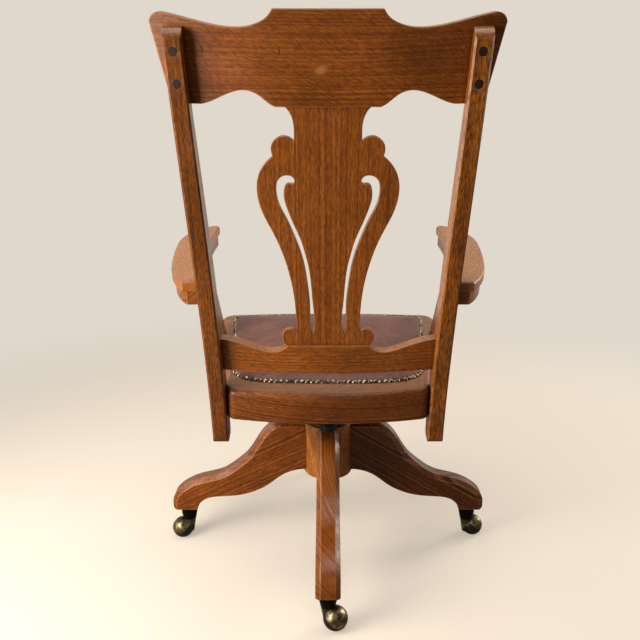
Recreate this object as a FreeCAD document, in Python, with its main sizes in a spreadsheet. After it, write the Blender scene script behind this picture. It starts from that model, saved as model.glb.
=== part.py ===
import FreeCAD, Part
import math
import os
from FreeCAD import Placement, Rotation, Vector

# Oak office chair of the banker's pattern: four sawn legs dowelled to a turned hub,
# an iron screw spindle with a height nut, a sprung tilt iron, an upholstered seat and
# a bowed back with a sawn splat.
# Millimetres. +Z is up, the sitter faces -Y, the origin is on the floor below the spindle.

doc = FreeCAD.newDocument("bankers_chair")
sheet = doc.addObject("Spreadsheet::Sheet", "Sizes")

SIZES = [
    # Stand
    ("hub_diameter", 104.0),
    ("hub_bottom", 163.0),
    ("hub_top", 281.0),
    ("leg_thickness", 46.0),
    ("leg_reach", 344.0),
    ("foot_bottom", 75.0),
    ("foot_length", 54.0),
    ("leg_root_rise", 11.0),
    ("leg_proud", 1.0),
    ("leg_chamfer", 9.0),
    ("toe_round", 6.0),
    ("dowel_diameter", 12.0),
    ("dowel_length", 60.0),
    ("dowel_spacing", 56.0),
    # Casters
    ("caster_inset", 32.0),
    ("caster_ball", 46.0),
    ("caster_trail", 16.0),
    ("caster_split_gap", 1.2),
    ("caster_axle", 6.0),
    ("caster_tilt", 50.0),
    ("stem_diameter", 10.0),
    ("stem_length", 34.0),
    ("socket_wall", 2.0),
    ("socket_flange", 34.0),
    ("neck_diameter", 34.0),
    # Screw column
    ("spindle_diameter", 28.0),
    ("spindle_length", 140.0),
    ("journal_diameter", 24.0),
    ("journal_length", 26.0),
    ("cap_margin", 3.0),
    ("cap_flange", 6.0),
    ("cap_boss_diameter", 62.0),
    ("cap_boss", 6.0),
    ("cap_screw_depth", 24.0),
    ("sleeve_diameter", 40.0),
    ("sleeve_length", 100.0),
    ("nut_diameter", 62.0),
    ("nut_height", 17.0),
    ("nut_lobes", 8),
    ("spindle_proud", 1.0),
    ("running_clearance", 0.05),
    ("face_clearance", 0.3),
    # Tilt iron
    ("pin_clearance", 3.4),
    ("pin_diameter", 12.0),
    ("pin_head", 18.0),
    ("pin_head_height", 4.0),
    ("yoke_boss", 50.0),
    ("yoke_web", 10.0),
    ("ear_inside", 34.0),
    ("ear_thickness", 12.0),
    ("ear_radius", 14.0),
    ("ear_foot", 8.0),
    ("lug_thickness", 10.0),
    ("tail_length", 78.0),
    ("tail_width", 40.0),
    ("collar_diameter", 36.0),
    ("collar_height", 5.0),
    ("knob_diameter", 38.0),
    ("knob_height", 18.0),
    ("tension_screw", 12.0),
    ("spring_diameter", 34.0),
    ("spring_wire", 5.0),
    ("spring_turns", 7.0),
    ("spring_room", 2.5),
    ("cup_rim", 9.0),
    ("cup_floor", 3.0),
    ("cup_wall", 2.5),
    ("cap_headroom", 4.0),
    ("spring_cap_flange", 5.0),
    ("spring_cap_wall", 2.0),
    ("plate_thickness", 6.0),
    ("plate_screw", 6.0),
    ("plate_screw_depth", 22.0),
    # Seat
    ("rest_slope", 6.0),
    ("seat_rise", 18.0),
    ("seat_thickness", 62.0),
    ("seat_rear", 189.0),
    ("seat_front", 256.0),
    ("seat_rear_bow", 23.0),
    ("seat_front_bow", 14.0),
    ("seat_rear_half", 193.0),
    ("seat_splay", 9.0),
    ("seat_top_round", 11.0),
    ("seat_bottom_round", 3.0),
    ("seat_rear_corner", 14.0),
    ("seat_front_corner", 34.0),
    ("rail_width", 60.0),
    ("board_thickness", 12.0),
    ("bearer_inset", 20.0),
    ("bearer_width", 44.0),
    ("bearer_spacing", 170.0),
    ("pad_rear_inset", 52.0),
    ("pad_rear_bow", 9.0),
    ("pad_side_inset", 3.0),
    ("pad_rear_corner", 50.0),
    ("pad_front_inset", 16.0),
    ("pad_front_bow", 10.0),
    ("pad_front_corner", 24.0),
    ("pad_splay", 5.9),
    ("pad_edge", 4.0),
    ("pad_crown", 24.0),
    # Back
    ("back_lean", 5.0),
    ("back_inset", 54.0),
    ("back_drop", 58.0),
    ("back_bow", 22.0),
    ("bow_half_chord", 250.0),
    ("post_width", 30.0),
    ("post_top_depth", 28.0),
    ("post_depth", 42.0),
    ("post_bottom", 5.0),
    ("post_top_drop", 25.0),
    ("post_standoff", 3.0),
    ("post_toe_in", 1.0),
    ("post_arm_flare", 7.5),
    ("post_head_flare", 27.0),
    ("post_chamfer", 3.0),
    ("crest_thickness", 22.0),
    ("crest_height", 140.0),
    ("crest_overhang", 23.0),
    ("crest_block_half", 85.0),
    ("crest_block_drop", 3.0),
    ("splat_length", 428.0),
    ("splat_half", 119.0),
    ("splat_thickness", 10.0),
    ("splat_tenon", 14.0),
    ("splat_setback", 2.0),
    ("rail_thickness", 20.0),
    ("rail_gap", 39.0),
    ("rail_height", 66.0),
    ("rail_block_half", 74.0),
    ("rail_block_drop", 8.0),
    ("rail_tenon", 12.0),
    ("plug_diameter", 15.0),
    ("plug_depth", 5.0),
    ("plug_room", 0.5),
    ("screw_diameter", 5.5),
    ("crest_screw", 34.0),
    ("seat_screw", 50.0),
    ("arm_screw", 38.0),
    ("stump_screw", 48.0),
    # Arms
    ("arm_height", 281.0),
    ("arm_board_thickness", 17.0),
    ("arm_rail_height", 26.0),
    ("arm_past_back", 44.0),
    ("arm_front_inset", 9.0),
    ("arm_breadth", 85.5),
    ("arm_flare", 16.5),
    ("arm_inset", 6.5),
    ("stump_thickness", 28.0),
    ("stump_width", 62.0),
    ("stump_setback", 144.0),
    ("stump_inset", 26.0),
    ("stump_foot_rise", 5.0),
]

for row, (alias, value) in enumerate(SIZES, 1):
    sheet.set(f"A{row}", alias)
    sheet.set(f"B{row}", str(value))
    sheet.setAlias(f"B{row}", alias)
doc.recompute()


def size(alias):
    return float(sheet.get(alias))


PARTS = {}


def keep(obj, label):
    """Name a finished sub-part."""
    obj.Label = label
    PARTS[label] = obj
    return obj


def bind(obj, **links):
    """Bind properties of an object to sheet formulas."""
    for prop, formula in links.items():
        obj.setExpression(prop, formula)
    return obj


def sheet_formula(text):
    """Prefix every alias of a formula with the sheet's name."""
    words = []
    for word in text.split():
        words.append("Sizes." + word if word in ALIASES else word)
    return " ".join(words)


ALIASES = {alias for alias, value in SIZES}


def at(x=0.0, y=0.0, z=0.0):
    return Placement(Vector(x, y, z), Rotation())


def turned(angle, axis="Z"):
    axes = {"X": Vector(1, 0, 0), "Y": Vector(0, 1, 0), "Z": Vector(0, 0, 1)}
    return Placement(Vector(), Rotation(axes[axis], angle))


def line(a, b):
    return Part.LineSegment(Vector(*a, 0), Vector(*b, 0))


def arc(a, through, b):
    return Part.Arc(Vector(*a, 0), Vector(*through, 0), Vector(*b, 0))


def curve(points):
    """Smooth curve through a few points."""
    spline = Part.BSplineCurve()
    spline.interpolate([Vector(*p, 0) for p in points])
    return spline


def polygon(points):
    return [line(a, b) for a, b in zip(points, points[1:] + points[:1])]


def corner(start, tip, end):
    """Round a corner with one arc between two points beside its tip."""
    blend = 0.5858
    middle = [t + blend * ((a + b) / 2 - t) for a, t, b in zip(start, tip, end)]
    return arc(start, middle, end)


def blend(start, tip, end):
    """Round a corner with a curve that meets both neighbours without a kink."""
    pull = 0.56
    handles = [tuple(p + pull * (t - p) for p, t in zip(point, tip)) for point in (start, end)]
    poles = [start] + handles + [end]
    bezier = Part.BezierCurve()
    bezier.setPoles([Vector(*pole, 0) for pole in poles])
    return bezier.toBSpline()


def box_outline(x0, y0, x1, y1):
    return polygon([(x0, y0), (x1, y0), (x1, y1), (x0, y1)])


def mirrored(geometry):
    """The same outline on the other side of the sketch's vertical axis."""
    out = []
    for item in geometry:
        first, last = item.FirstParameter, item.LastParameter
        points = [item.value(first), item.value((first + last) / 2), item.value(last)]
        start, middle, end = [(-point.x, point.y) for point in points]
        if isinstance(item, Part.LineSegment):
            out.append(line(end, start))
        elif isinstance(item, Part.BSplineCurve):
            spline = item.copy()
            for number, pole in enumerate(item.getPoles(), 1):
                spline.setPole(number, Vector(-pole.x, pole.y, 0))
            out.append(spline)
        else:
            out.append(arc(end, middle, start))
    return out


def sketch_in(body, name, plane, geometry, offset=0.0):
    sketch = body.newObject("Sketcher::SketchObject", name)
    origin = [f for f in body.Origin.OriginFeatures if f.Role == plane + "_Plane"][0]
    sketch.AttachmentSupport = [(origin, "")]
    sketch.MapMode = "FlatFace"
    sketch.AttachmentOffset = at(0, 0, offset)
    sketch.addGeometry(geometry, False)
    return sketch


def padded(name, plane, geometry, length, placement=None, middle=True, offset=0.0):
    """A body with one sketch padded by a sheet formula."""
    body = doc.addObject("PartDesign::Body", name)
    sketch = sketch_in(body, name + "_outline", plane, geometry, offset)
    pad = body.newObject("PartDesign::Pad", name + "_pad")
    pad.Profile = sketch
    pad.Midplane = middle
    bind(pad, Length=sheet_formula(length))
    if placement:
        body.Placement = placement
    doc.recompute()
    return body


def turning(name, geometry, placement=None):
    """A body turned about +Z from a half profile in the XZ plane."""
    body = doc.addObject("PartDesign::Body", name)
    sketch = sketch_in(body, name + "_profile", "XZ", geometry)
    spin = body.newObject("PartDesign::Revolution", name + "_turning")
    spin.Profile = sketch
    spin.ReferenceAxis = (sketch, ["V_Axis"])
    spin.Angle = 360.0
    if placement:
        body.Placement = placement
    doc.recompute()
    return body


def edges_where(shape, test):
    return [f"Edge{i}" for i, edge in enumerate(shape.Edges, 1) if test(edge)]


def eased(body, kind, amount, test):
    """Fillet or chamfer the edges of a body's tip that pass a test."""
    base = body.Tip
    names = edges_where(base.Shape, test)
    feature = body.newObject("PartDesign::" + kind, body.Name + "_" + kind.lower())
    feature.Base = (base, names)
    prop = "Radius" if kind == "Fillet" else "Size"
    bind(feature, **{prop: sheet_formula(amount)})
    doc.recompute()
    return body


def cylinder(name, radius, height, placement):
    rod = doc.addObject("Part::Cylinder", name)
    bind(rod, Radius=sheet_formula(radius), Height=sheet_formula(height))
    rod.Placement = placement
    return rod


def fuse(name, shapes):
    joined = doc.addObject("Part::MultiFuse", name)
    joined.Shapes = shapes
    doc.recompute()
    return joined


def cut(name, base, tool):
    result = doc.addObject("Part::Cut", name)
    result.Base = base
    result.Tool = tool
    doc.recompute()
    return result


def common(name, one, other):
    result = doc.addObject("Part::Common", name)
    result.Base = one
    result.Tool = other
    doc.recompute()
    return result


def other_side(name, obj):
    """The same piece for the chair's right side."""
    twin = doc.addObject("Part::Mirroring", name)
    twin.Source = obj
    twin.Normal = Vector(1, 0, 0)
    doc.recompute()
    return twin


def loose_group(name, shapes):
    """Like pieces kept as separate solids of one sub-part."""
    group = doc.addObject("Part::Compound", name)
    group.Links = shapes
    doc.recompute()
    return group


def flat(axis, value, tolerance=0.01):
    """Test for an edge that lies at one coordinate."""
    def test(edge):
        box = edge.BoundBox
        low, high = getattr(box, axis + "Min"), getattr(box, axis + "Max")
        return abs(low - value) < tolerance and abs(high - value) < tolerance
    return test


# Levels of the screw column, stacked from the hub up to the tilt pin.
hub_radius = size("hub_diameter") / 2
cap_radius = hub_radius - size("cap_margin")
cap_face = size("hub_top") + size("cap_flange") + size("cap_boss")
nut_base = cap_face + size("face_clearance")
spindle_top = nut_base + size("nut_height") + size("spindle_proud")
spindle_end = spindle_top + size("journal_length") + size("face_clearance") + size("collar_height")
pivot = spindle_end + size("pin_clearance") + size("pin_diameter") / 2

# Levels and widths of the seat, the back and the arms, each from what carries it.
seat_underside = pivot + size("seat_rise")
seat_top = seat_underside + size("seat_thickness")
board_underside = seat_top - size("board_thickness")
back_y = size("seat_rear") - size("back_inset")
back_z = seat_underside - size("back_drop")
post_seat_half = size("seat_rear_half") + size("post_standoff") + size("post_width")
post_foot_half = post_seat_half - size("post_toe_in")
post_arm_half = post_seat_half + size("post_arm_flare")
post_head_half = post_seat_half + size("post_head_flare")
rail_foot = seat_top - back_z + size("rail_gap")
splat_foot = rail_foot + size("rail_height") - size("rail_block_drop")
splat_head = splat_foot + size("splat_length")
crest_foot = splat_head + size("crest_block_drop")
crest_half = post_head_half + size("crest_overhang")
post_top = crest_foot + size("crest_height") - size("post_top_drop")
arm_board_base = seat_underside + size("arm_height") - size("arm_board_thickness")
arm_rail_base = arm_board_base - size("arm_rail_height")
arm_inner = post_arm_half + size("arm_flare")
stump_y = size("stump_setback") - size("seat_front")

# Frames of the chair: the seat is drawn level and then sloped about the tilt pin,
# and the back is drawn upright on its own plane.
SEAT = at(0, 0, pivot) * turned(-size("rest_slope"), "X") * at(0, 0, -pivot)
BACK = SEAT * at(0, back_y, back_z) * turned(-size("back_lean"), "X")
LEGS = [("rear", 90.0), ("left", 0.0), ("front", -90.0), ("right", 180.0)]
SIDES = [("left", 1.0), ("right", -1.0)]


# Turned hub with the bore for the iron sleeve.

def hub_profile():
    bottom, top = size("hub_bottom"), size("hub_top")
    bore = size("sleeve_diameter") / 2
    ease = 4.0
    return [
        line((bore, bottom), (hub_radius - ease, bottom)),
        corner((hub_radius - ease, bottom), (hub_radius, bottom), (hub_radius, bottom + ease)),
        line((hub_radius, bottom + ease), (hub_radius, top)),
        line((hub_radius, top), (bore, top)),
        line((bore, top), (bore, bottom)),
    ]


hub = turning("hub_turning", hub_profile())


# Sawn leg: flat on top beside the hub, an ogee down to the toe and a stepped foot below.

# Points of the leg's upper and lower curves, as shares of its run and of its height.
LEG_OGEE = [(0.18, 1.0), (0.325, 0.84), (0.43, 0.617), (0.50, 0.528), (0.62, 0.415), (0.79, 0.348),
            (0.91, 0.268), (0.978, 0.178), (1.0, 0.095)]
LEG_BELLY = [(0.0, 0.0), (0.03, 0.17), (0.10, 0.285), (0.20, 0.33), (0.385, 0.365), (0.54, 0.465),
             (0.675, 0.64), (0.79, 0.85), (0.905, 0.97), (1.0, 1.0)]
leg_root = size("hub_bottom") + size("leg_root_rise")
leg_top = size("hub_top") + size("leg_proud")
heel = size("leg_reach") - size("foot_length")
spare_end = size("foot_bottom") - 2 * size("toe_round")


def leg_outline():
    """Side view of a leg whose foot still has spare wood below it."""
    reach, foot = size("leg_reach"), size("foot_bottom")
    start = hub_radius / 2
    span, drop = reach - hub_radius, leg_top - foot
    run, rise = heel - hub_radius, leg_root - foot
    upper = [(hub_radius + x * span, foot + z * drop) for x, z in LEG_OGEE]
    lower = [(heel - x * run, foot + z * rise) for x, z in LEG_BELLY]
    return [
        line((start, leg_top), upper[0]),
        curve(upper),
        line(upper[-1], (reach, spare_end)),
        line((reach, spare_end), (heel, spare_end)),
        line((heel, spare_end), lower[0]),
        curve(lower),
        line(lower[-1], (start, leg_root)),
        line((start, leg_root), (start, leg_top)),
    ]


def foot_saw_outline():
    """What is sawn off below the foot, with the round of the toe."""
    reach, foot, ease = size("leg_reach"), size("foot_bottom"), size("toe_round")
    low = spare_end - ease
    out = reach + ease / 20
    return [
        line((heel - ease, foot), (reach - ease, foot)),
        corner((reach - ease, foot), (out, foot), (out, foot + ease)),
        line((out, foot + ease), (out + ease, foot + ease)),
        line((out + ease, foot + ease), (out + ease, low)),
        line((out + ease, low), (heel - ease, low)),
        line((heel - ease, low), (heel - ease, foot)),
    ]


def dowels_at(spot, angle, tag):
    """Two dowels across the joint of one leg and the hub."""
    middle = (leg_root + size("hub_top")) / 2
    rods = []
    for number, offset in enumerate((-0.5, 0.5)):
        level = middle + offset * size("dowel_spacing")
        place = turned(angle) * at(hub_radius - size("dowel_length") / 2, 0, level) * turned(90, "Y")
        rods.append(cylinder(f"{tag}_{spot}_{number}", "dowel_diameter / 2", "dowel_length", place))
    return rods


def upper_edge(edge):
    """Long top edges of a leg: its flat, its ogee and the end of its toe."""
    box = edge.BoundBox
    along = box.YLength < 0.01
    flat_top = box.ZMin > size("hub_top") and box.XLength > size("leg_proud")
    toe = box.XMax > size("leg_reach") - 0.01 and box.ZMax > size("foot_bottom")
    return along and (flat_top or toe)


caster_circle = size("leg_reach") - size("caster_inset")
dowels = []
hub_blank = cylinder("hub_blank", "hub_diameter / 2", "hub_top * 2", at())
for spot, angle in LEGS:
    leg = padded("leg_" + spot + "_blank", "XZ", leg_outline(), "leg_thickness")
    eased(leg, "Chamfer", "leg_chamfer", upper_edge)
    leg.Placement = turned(angle)
    rods = dowels_at(spot, angle, "dowel")
    dowels += rods
    socket = cylinder(
        "socket_hole_" + spot, "stem_diameter / 2 + socket_wall", "stem_length + socket_wall",
        turned(angle) * at(caster_circle, 0, size("foot_bottom")))
    foot_saw = padded("foot_saw_" + spot, "XZ", foot_saw_outline(), "leg_thickness * 2", turned(angle))
    holes = fuse("leg_holes_" + spot, [hub_blank, socket, foot_saw] + rods)
    keep(cut("leg_" + spot + "_cut", leg, holes), "leg_" + spot)

all_dowels = keep(loose_group("dowel_group", dowels), "leg_dowels")
hub_drilled = cut("hub_drilled", hub, all_dowels)


# Iron cap and sleeve: one casting let into the hub, bored for the spindle.

def cap_profile():
    bore = size("spindle_diameter") / 2 + size("running_clearance")
    sleeve, boss, rim = size("sleeve_diameter") / 2, size("cap_boss_diameter") / 2, cap_radius
    top = size("hub_top")
    flange = top + size("cap_flange")
    ease = size("cap_flange") / 3
    return [
        line((bore, top - size("sleeve_length")), (sleeve, top - size("sleeve_length"))),
        line((sleeve, top - size("sleeve_length")), (sleeve, top)),
        line((sleeve, top), (rim, top)),
        line((rim, top), (rim, flange - ease)),
        corner((rim, flange - ease), (rim, flange), (rim - ease, flange)),
        line((rim - ease, flange), (boss + ease, flange)),
        line((boss + ease, flange), (boss, cap_face)),
        line((boss, cap_face), (bore, cap_face)),
        line((bore, cap_face), (bore, top - size("sleeve_length"))),
    ]


cap_screws = []
cap_screw_circle = (cap_radius + size("cap_boss_diameter") / 2) / 2
for number in range(4):
    place = turned(45 + 90 * number) * at(cap_screw_circle, 0, size("hub_top") - size("cap_screw_depth"))
    shank = cylinder(f"cap_screw_shank_{number}", "plate_screw / 2", "cap_flange + cap_screw_depth", place)
    head = doc.addObject("Part::Cone", f"cap_screw_head_{number}")
    bind(head, Radius1="Sizes.plate_screw / 2", Radius2="Sizes.plate_screw")
    bind(head, Height="Sizes.plate_screw / 2")
    head.Placement = place * at(0, 0, size("cap_screw_depth") + size("cap_flange") - size("plate_screw") / 2)
    cap_screws.append(fuse(f"cap_screw_{number}", [shank, head]))
cap_screw_group = keep(loose_group("cap_screw_group", cap_screws), "cap_screws")
keep(cut("hub_cap_drilled", turning("hub_cap_casting", cap_profile()), cap_screw_group), "hub_cap")
keep(cut("hub_finished", hub_drilled, cap_screw_group), "hub")


# Height nut: a lobed iron hand nut that rides on the cap and lifts the spindle.

nut = turning("height_nut_blank", polygon([
    (size("spindle_diameter") / 2 + size("running_clearance"), nut_base),
    (size("nut_diameter") / 2, nut_base),
    (size("nut_diameter") / 2, nut_base + size("nut_height") * 0.7),
    (size("nut_diameter") / 2 - 6.0, nut_base + size("nut_height")),
    (size("spindle_diameter") / 2 + size("running_clearance"), nut_base + size("nut_height")),
]))
scallops = []
for number in range(int(size("nut_lobes"))):
    place = turned(360.0 * number / size("nut_lobes")) * at(size("nut_diameter") / 2 + 4.0, 0, nut_base)
    scallops.append(cylinder(f"nut_scallop_{number}", "nut_diameter / 9", "nut_height", place))
keep(cut("height_nut_cut", nut, fuse("nut_scallops", scallops)), "height_nut")


def spindle_profile():
    outer, neck = size("spindle_diameter") / 2, size("journal_diameter") / 2
    bottom = spindle_top - size("spindle_length")
    ease = 2.0
    return polygon([
        (0, bottom), (outer - ease, bottom), (outer, bottom + ease), (outer, spindle_top),
        (neck, spindle_top), (neck, spindle_end - ease), (neck - ease, spindle_end), (0, spindle_end),
    ])


keep(turning("spindle_turning", spindle_profile()), "spindle")


# Yoke: the casting that swivels on the spindle's journal and carries the tilt pin.

yoke_base = spindle_top + size("face_clearance")
yoke_boss_top = spindle_top + size("journal_length") - size("face_clearance")
ear_outside = size("ear_inside") + size("ear_thickness")


def ear_outline():
    """Side view of one ear: a tapered cheek with a round head about the pin."""
    radius = size("ear_radius")
    foot = radius + size("ear_foot")
    lean = math.atan2(foot - radius, pivot - yoke_base)
    shoulder = (radius * math.cos(lean), pivot + radius * math.sin(lean))
    return [
        line((-foot, yoke_base), (foot, yoke_base)),
        line((foot, yoke_base), shoulder),
        arc(shoulder, (0, pivot + radius), (-shoulder[0], shoulder[1])),
        line((-shoulder[0], shoulder[1]), (-foot, yoke_base)),
    ]


def tail_outline():
    """Plan of the web and the tail that carries the spring."""
    half, web = size("tail_width") / 2, size("ear_radius") + size("ear_foot")
    length = size("tail_length")
    neck = web + 1.5 * size("ear_foot")
    return [
        line((-ear_outside, -web), (ear_outside, -web)),
        line((ear_outside, -web), (ear_outside, web)),
        line((ear_outside, web), (half, neck)),
        line((half, neck), (half, length)),
        arc((half, length), (0, length + half), (-half, length)),
        line((-half, length), (-half, neck)),
        line((-half, neck), (-ear_outside, web)),
        line((-ear_outside, web), (-ear_outside, -web)),
    ]


yoke_pieces = [
    padded("yoke_web_plate", "XY", tail_outline(), "yoke_web", middle=False, offset=yoke_base),
    cylinder("yoke_boss_round", "yoke_boss / 2", "journal_length - 2 * face_clearance", at(0, 0, yoke_base)),
]
for name, side in SIDES:
    ear = padded("yoke_ear_" + name, "YZ", ear_outline(), "ear_thickness")
    ear.Placement = at(side * (size("ear_inside") + size("ear_thickness") / 2))
    yoke_pieces.append(ear)
yoke_holes = fuse("yoke_holes", [
    cylinder("journal_bore", "journal_diameter / 2 + running_clearance", "journal_length * 2",
             at(0, 0, spindle_top - 5)),
    cylinder("pin_bore", "pin_diameter / 2 + running_clearance", "ear_inside * 4",
             at(-size("ear_inside") * 2, 0, pivot) * turned(90, "Y")),
    cylinder("tension_bore", "tension_screw / 2 + running_clearance", "yoke_web * 2",
             at(0, size("tail_length"), yoke_base - size("yoke_web") / 2)),
])
keep(cut("yoke_bored", fuse("yoke_casting", yoke_pieces), yoke_holes), "tilt_yoke")

collar_base = yoke_boss_top + size("face_clearance")
collar = turning("collar_turning", polygon([
    (size("journal_diameter") / 2, collar_base),
    (size("collar_diameter") / 2, collar_base),
    (size("collar_diameter") / 2, collar_base + size("collar_height")),
    (size("journal_diameter") / 2, collar_base + size("collar_height")),
]))
keep(collar, "spindle_collar")


# Tension knob: a fluted iron hand knob whose screw passes up through the tail.

knob_top = yoke_base - size("face_clearance")


def knob_profile():
    rim, screw = size("knob_diameter") / 2, size("tension_screw") / 2
    low = knob_top - size("knob_height")
    ease = 3.0
    return [
        line((0, low), (rim - ease, low)),
        corner((rim - ease, low), (rim, low), (rim, low + ease)),
        line((rim, low + ease), (rim, knob_top - 6.0)),
        line((rim, knob_top - 6.0), (rim - 7.0, knob_top)),
        line((rim - 7.0, knob_top), (screw, knob_top)),
        line((screw, knob_top), (screw, yoke_base + size("yoke_web") + 2.0)),
        line((screw, yoke_base + size("yoke_web") + 2.0), (0, yoke_base + size("yoke_web") + 2.0)),
        line((0, yoke_base + size("yoke_web") + 2.0), (0, low)),
    ]


knob = turning("tension_knob_blank", knob_profile(), at(0, size("tail_length"), 0))
flutes = []
for number in range(6):
    place = at(0, size("tail_length"), knob_top - size("knob_height") - 1) * turned(60.0 * number)
    place = place * at(size("knob_diameter") / 2 + 3.0, 0, 0)
    flutes.append(cylinder(f"knob_flute_{number}", "knob_diameter / 7", "knob_height + 2", place))
keep(cut("tension_knob_cut", knob, fuse("knob_flutes", flutes)), "tension_knob")

cup_base = yoke_base + size("yoke_web") + 2.0 + size("face_clearance")
cup_inside = size("spring_diameter") / 2 + size("spring_room")
cup_outside = cup_inside + size("cup_wall")
cup_seat = cup_base + size("cup_floor")
spring_cup = turning("spring_cup_turning", polygon([
    (0, cup_base), (cup_outside, cup_base), (cup_outside, cup_base + size("cup_rim")),
    (cup_inside, cup_base + size("cup_rim")), (cup_inside, cup_seat), (0, cup_seat),
]), at(0, size("tail_length"), 0))
keep(spring_cup, "spring_cup")


# Tilt pin: riveted in the seat iron's lugs, running in the yoke's ears.

lug_inside = ear_outside + size("face_clearance")
lug_outside = lug_inside + size("lug_thickness")
pin_pieces = [cylinder(
    "tilt_pin_shank", "pin_diameter / 2",
    "2 * ( ear_inside + ear_thickness + face_clearance + lug_thickness )",
    SEAT * at(-lug_outside, 0, pivot) * turned(90, "Y"))]
for name, side in SIDES:
    start = lug_outside if side > 0 else -lug_outside - size("pin_head_height")
    pin_pieces.append(cylinder("tilt_pin_head_" + name, "pin_head / 2", "pin_head_height",
                               SEAT * at(start, 0, pivot) * turned(90, "Y")))
keep(fuse("tilt_pin_riveted", pin_pieces), "tilt_pin")


# Seat iron: a waisted plate under the bearers with two lugs down to the pin.

plate_top = seat_underside + size("bearer_inset")
plate_base = plate_top - size("plate_thickness")
cap_top = board_underside - size("cap_headroom")
# The spring stands upright on the tail, so the cap above it lies on the same line.
slope = math.radians(size("rest_slope"))
spring_top_y = (size("tail_length") - (cap_top - pivot) * math.sin(slope)) / math.cos(slope)
bearer_middle = size("bearer_spacing") / 2
arm_end = bearer_middle + size("bearer_width") / 2 - 3.0


def plate_outline():
    waist = lug_outside + 2.0
    stations = [(waist, -80.0), (arm_end, -72.0), (arm_end, -44.0), (waist, -30.0),
                (waist, 24.0), (arm_end, 38.0), (arm_end, 66.0), (waist, 74.0)]
    tail_end = spring_top_y + cup_outside + 10.0
    stations += [(cup_outside + 12.0, tail_end)]
    return polygon(stations + [(-x, y) for x, y in reversed(stations)])


iron_pieces = [padded("seat_iron_plate", "XY", plate_outline(), "plate_thickness", SEAT, False, plate_base)]
for name, side in SIDES:
    radius = size("ear_radius")
    outline = [
        line((-radius, plate_base), (radius, plate_base)),
        line((radius, plate_base), (radius, pivot)),
        arc((radius, pivot), (0, pivot - radius), (-radius, pivot)),
        line((-radius, pivot), (-radius, plate_base)),
    ]
    lug = padded("seat_iron_lug_" + name, "YZ", outline, "lug_thickness")
    lug.Placement = SEAT * at(side * (lug_inside + size("lug_thickness") / 2))
    iron_pieces.append(lug)

spring_hole = cylinder("spring_hole", "spring_diameter / 2 + spring_room + cup_wall + 1",
                       "plate_thickness * 3", SEAT * at(0, spring_top_y, plate_base - size("plate_thickness")))

plate_screws = []
for x in (-bearer_middle, bearer_middle):
    for y in (-58.0, 52.0):
        place = SEAT * at(x, y, plate_base)
        shank = cylinder(f"plate_screw_shank_{len(plate_screws)}", "plate_screw / 2",
                         "plate_thickness + plate_screw_depth", place)
        head = doc.addObject("Part::Cone", f"plate_screw_head_{len(plate_screws)}")
        bind(head, Radius1="Sizes.plate_screw", Radius2="Sizes.plate_screw / 2")
        bind(head, Height="Sizes.plate_screw / 2")
        head.Placement = place
        plate_screws.append(fuse(f"plate_screw_{len(plate_screws)}", [shank, head]))
plate_screw_group = keep(loose_group("plate_screw_group", plate_screws), "seat_iron_screws")
iron_tools = fuse("seat_iron_holes", [spring_hole, PARTS["tilt_pin"], plate_screw_group])
keep(cut("seat_iron_drilled", fuse("seat_iron_casting", iron_pieces), iron_tools), "seat_iron")

cap_wall = size("spring_cap_wall")
cap_inside = cup_outside - cap_wall
cap_rim = cup_outside + size("spring_cap_flange")
spring_cap = turning("spring_cap_pressing", polygon([
    (cap_inside, plate_top), (cap_rim, plate_top), (cap_rim, plate_top + cap_wall),
    (cup_outside, plate_top + cap_wall), (cup_outside, cap_top), (0, cap_top),
    (0, cap_top - cap_wall), (cap_inside, cap_top - cap_wall),
]), SEAT * at(0, spring_top_y, 0))
keep(spring_cap, "spring_cap")


# Tilt spring: one wire wound between the cup and the cap, both ends closed flat.

def biarc(p0, t0, p1, t1):
    """Two tangent arcs from p0 to p1 with the given end directions."""
    chord = p1 - p0
    total = t0 + t1
    a = 2 * (1 - t0.dot(t1))
    b = 2 * chord.dot(total)
    c = -chord.dot(chord)
    reach = (-b + math.sqrt(b * b - 4 * a * c)) / (2 * a)
    q0, q1 = p0 + t0 * reach, p1 - t1 * reach
    joint = (q0 + q1) / 2

    def rounded(start, apex, end):
        middle = (start + end) / 2
        axis = apex - middle
        height, half = axis.Length, (end - start).Length / 2
        side = math.hypot(height, half)
        sagitta = half * (side - half) / height
        return Part.Arc(start, middle + axis * (sagitta / height), end).toShape()
    return [rounded(p0, q0, joint), rounded(joint, q1, p1)]


def spring_axis():
    foot = Vector(0, size("tail_length"), cup_seat)
    head = SEAT.multVec(Vector(0, spring_top_y, cap_top - cap_wall))
    return foot, head


def spring_point(turn, height):
    """Point and direction of the wire's centre after a number of turns."""
    wire, radius = size("spring_wire"), (size("spring_diameter") - size("spring_wire")) / 2
    turns = size("spring_turns")
    dead = 1.0
    low, high = wire / 2 + 0.2, height - wire / 2 - 0.2
    step = wire + 0.6
    climb = (high - low - 2 * step * dead) / (turns - 2 * dead)

    def level(n):
        if n < dead:
            return low + step * n
        if n > turns - dead:
            return high - step * (turns - n)
        return low + step * dead + climb * (n - dead)
    angle = 2 * math.pi * turn
    rate = step if turn < dead or turn > turns - dead else climb
    point = Vector(radius * math.cos(angle), radius * math.sin(angle), level(turn))
    way = Vector(-radius * math.sin(angle) * 2 * math.pi, radius * math.cos(angle) * 2 * math.pi, rate)
    way.normalize()
    return point, way


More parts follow.
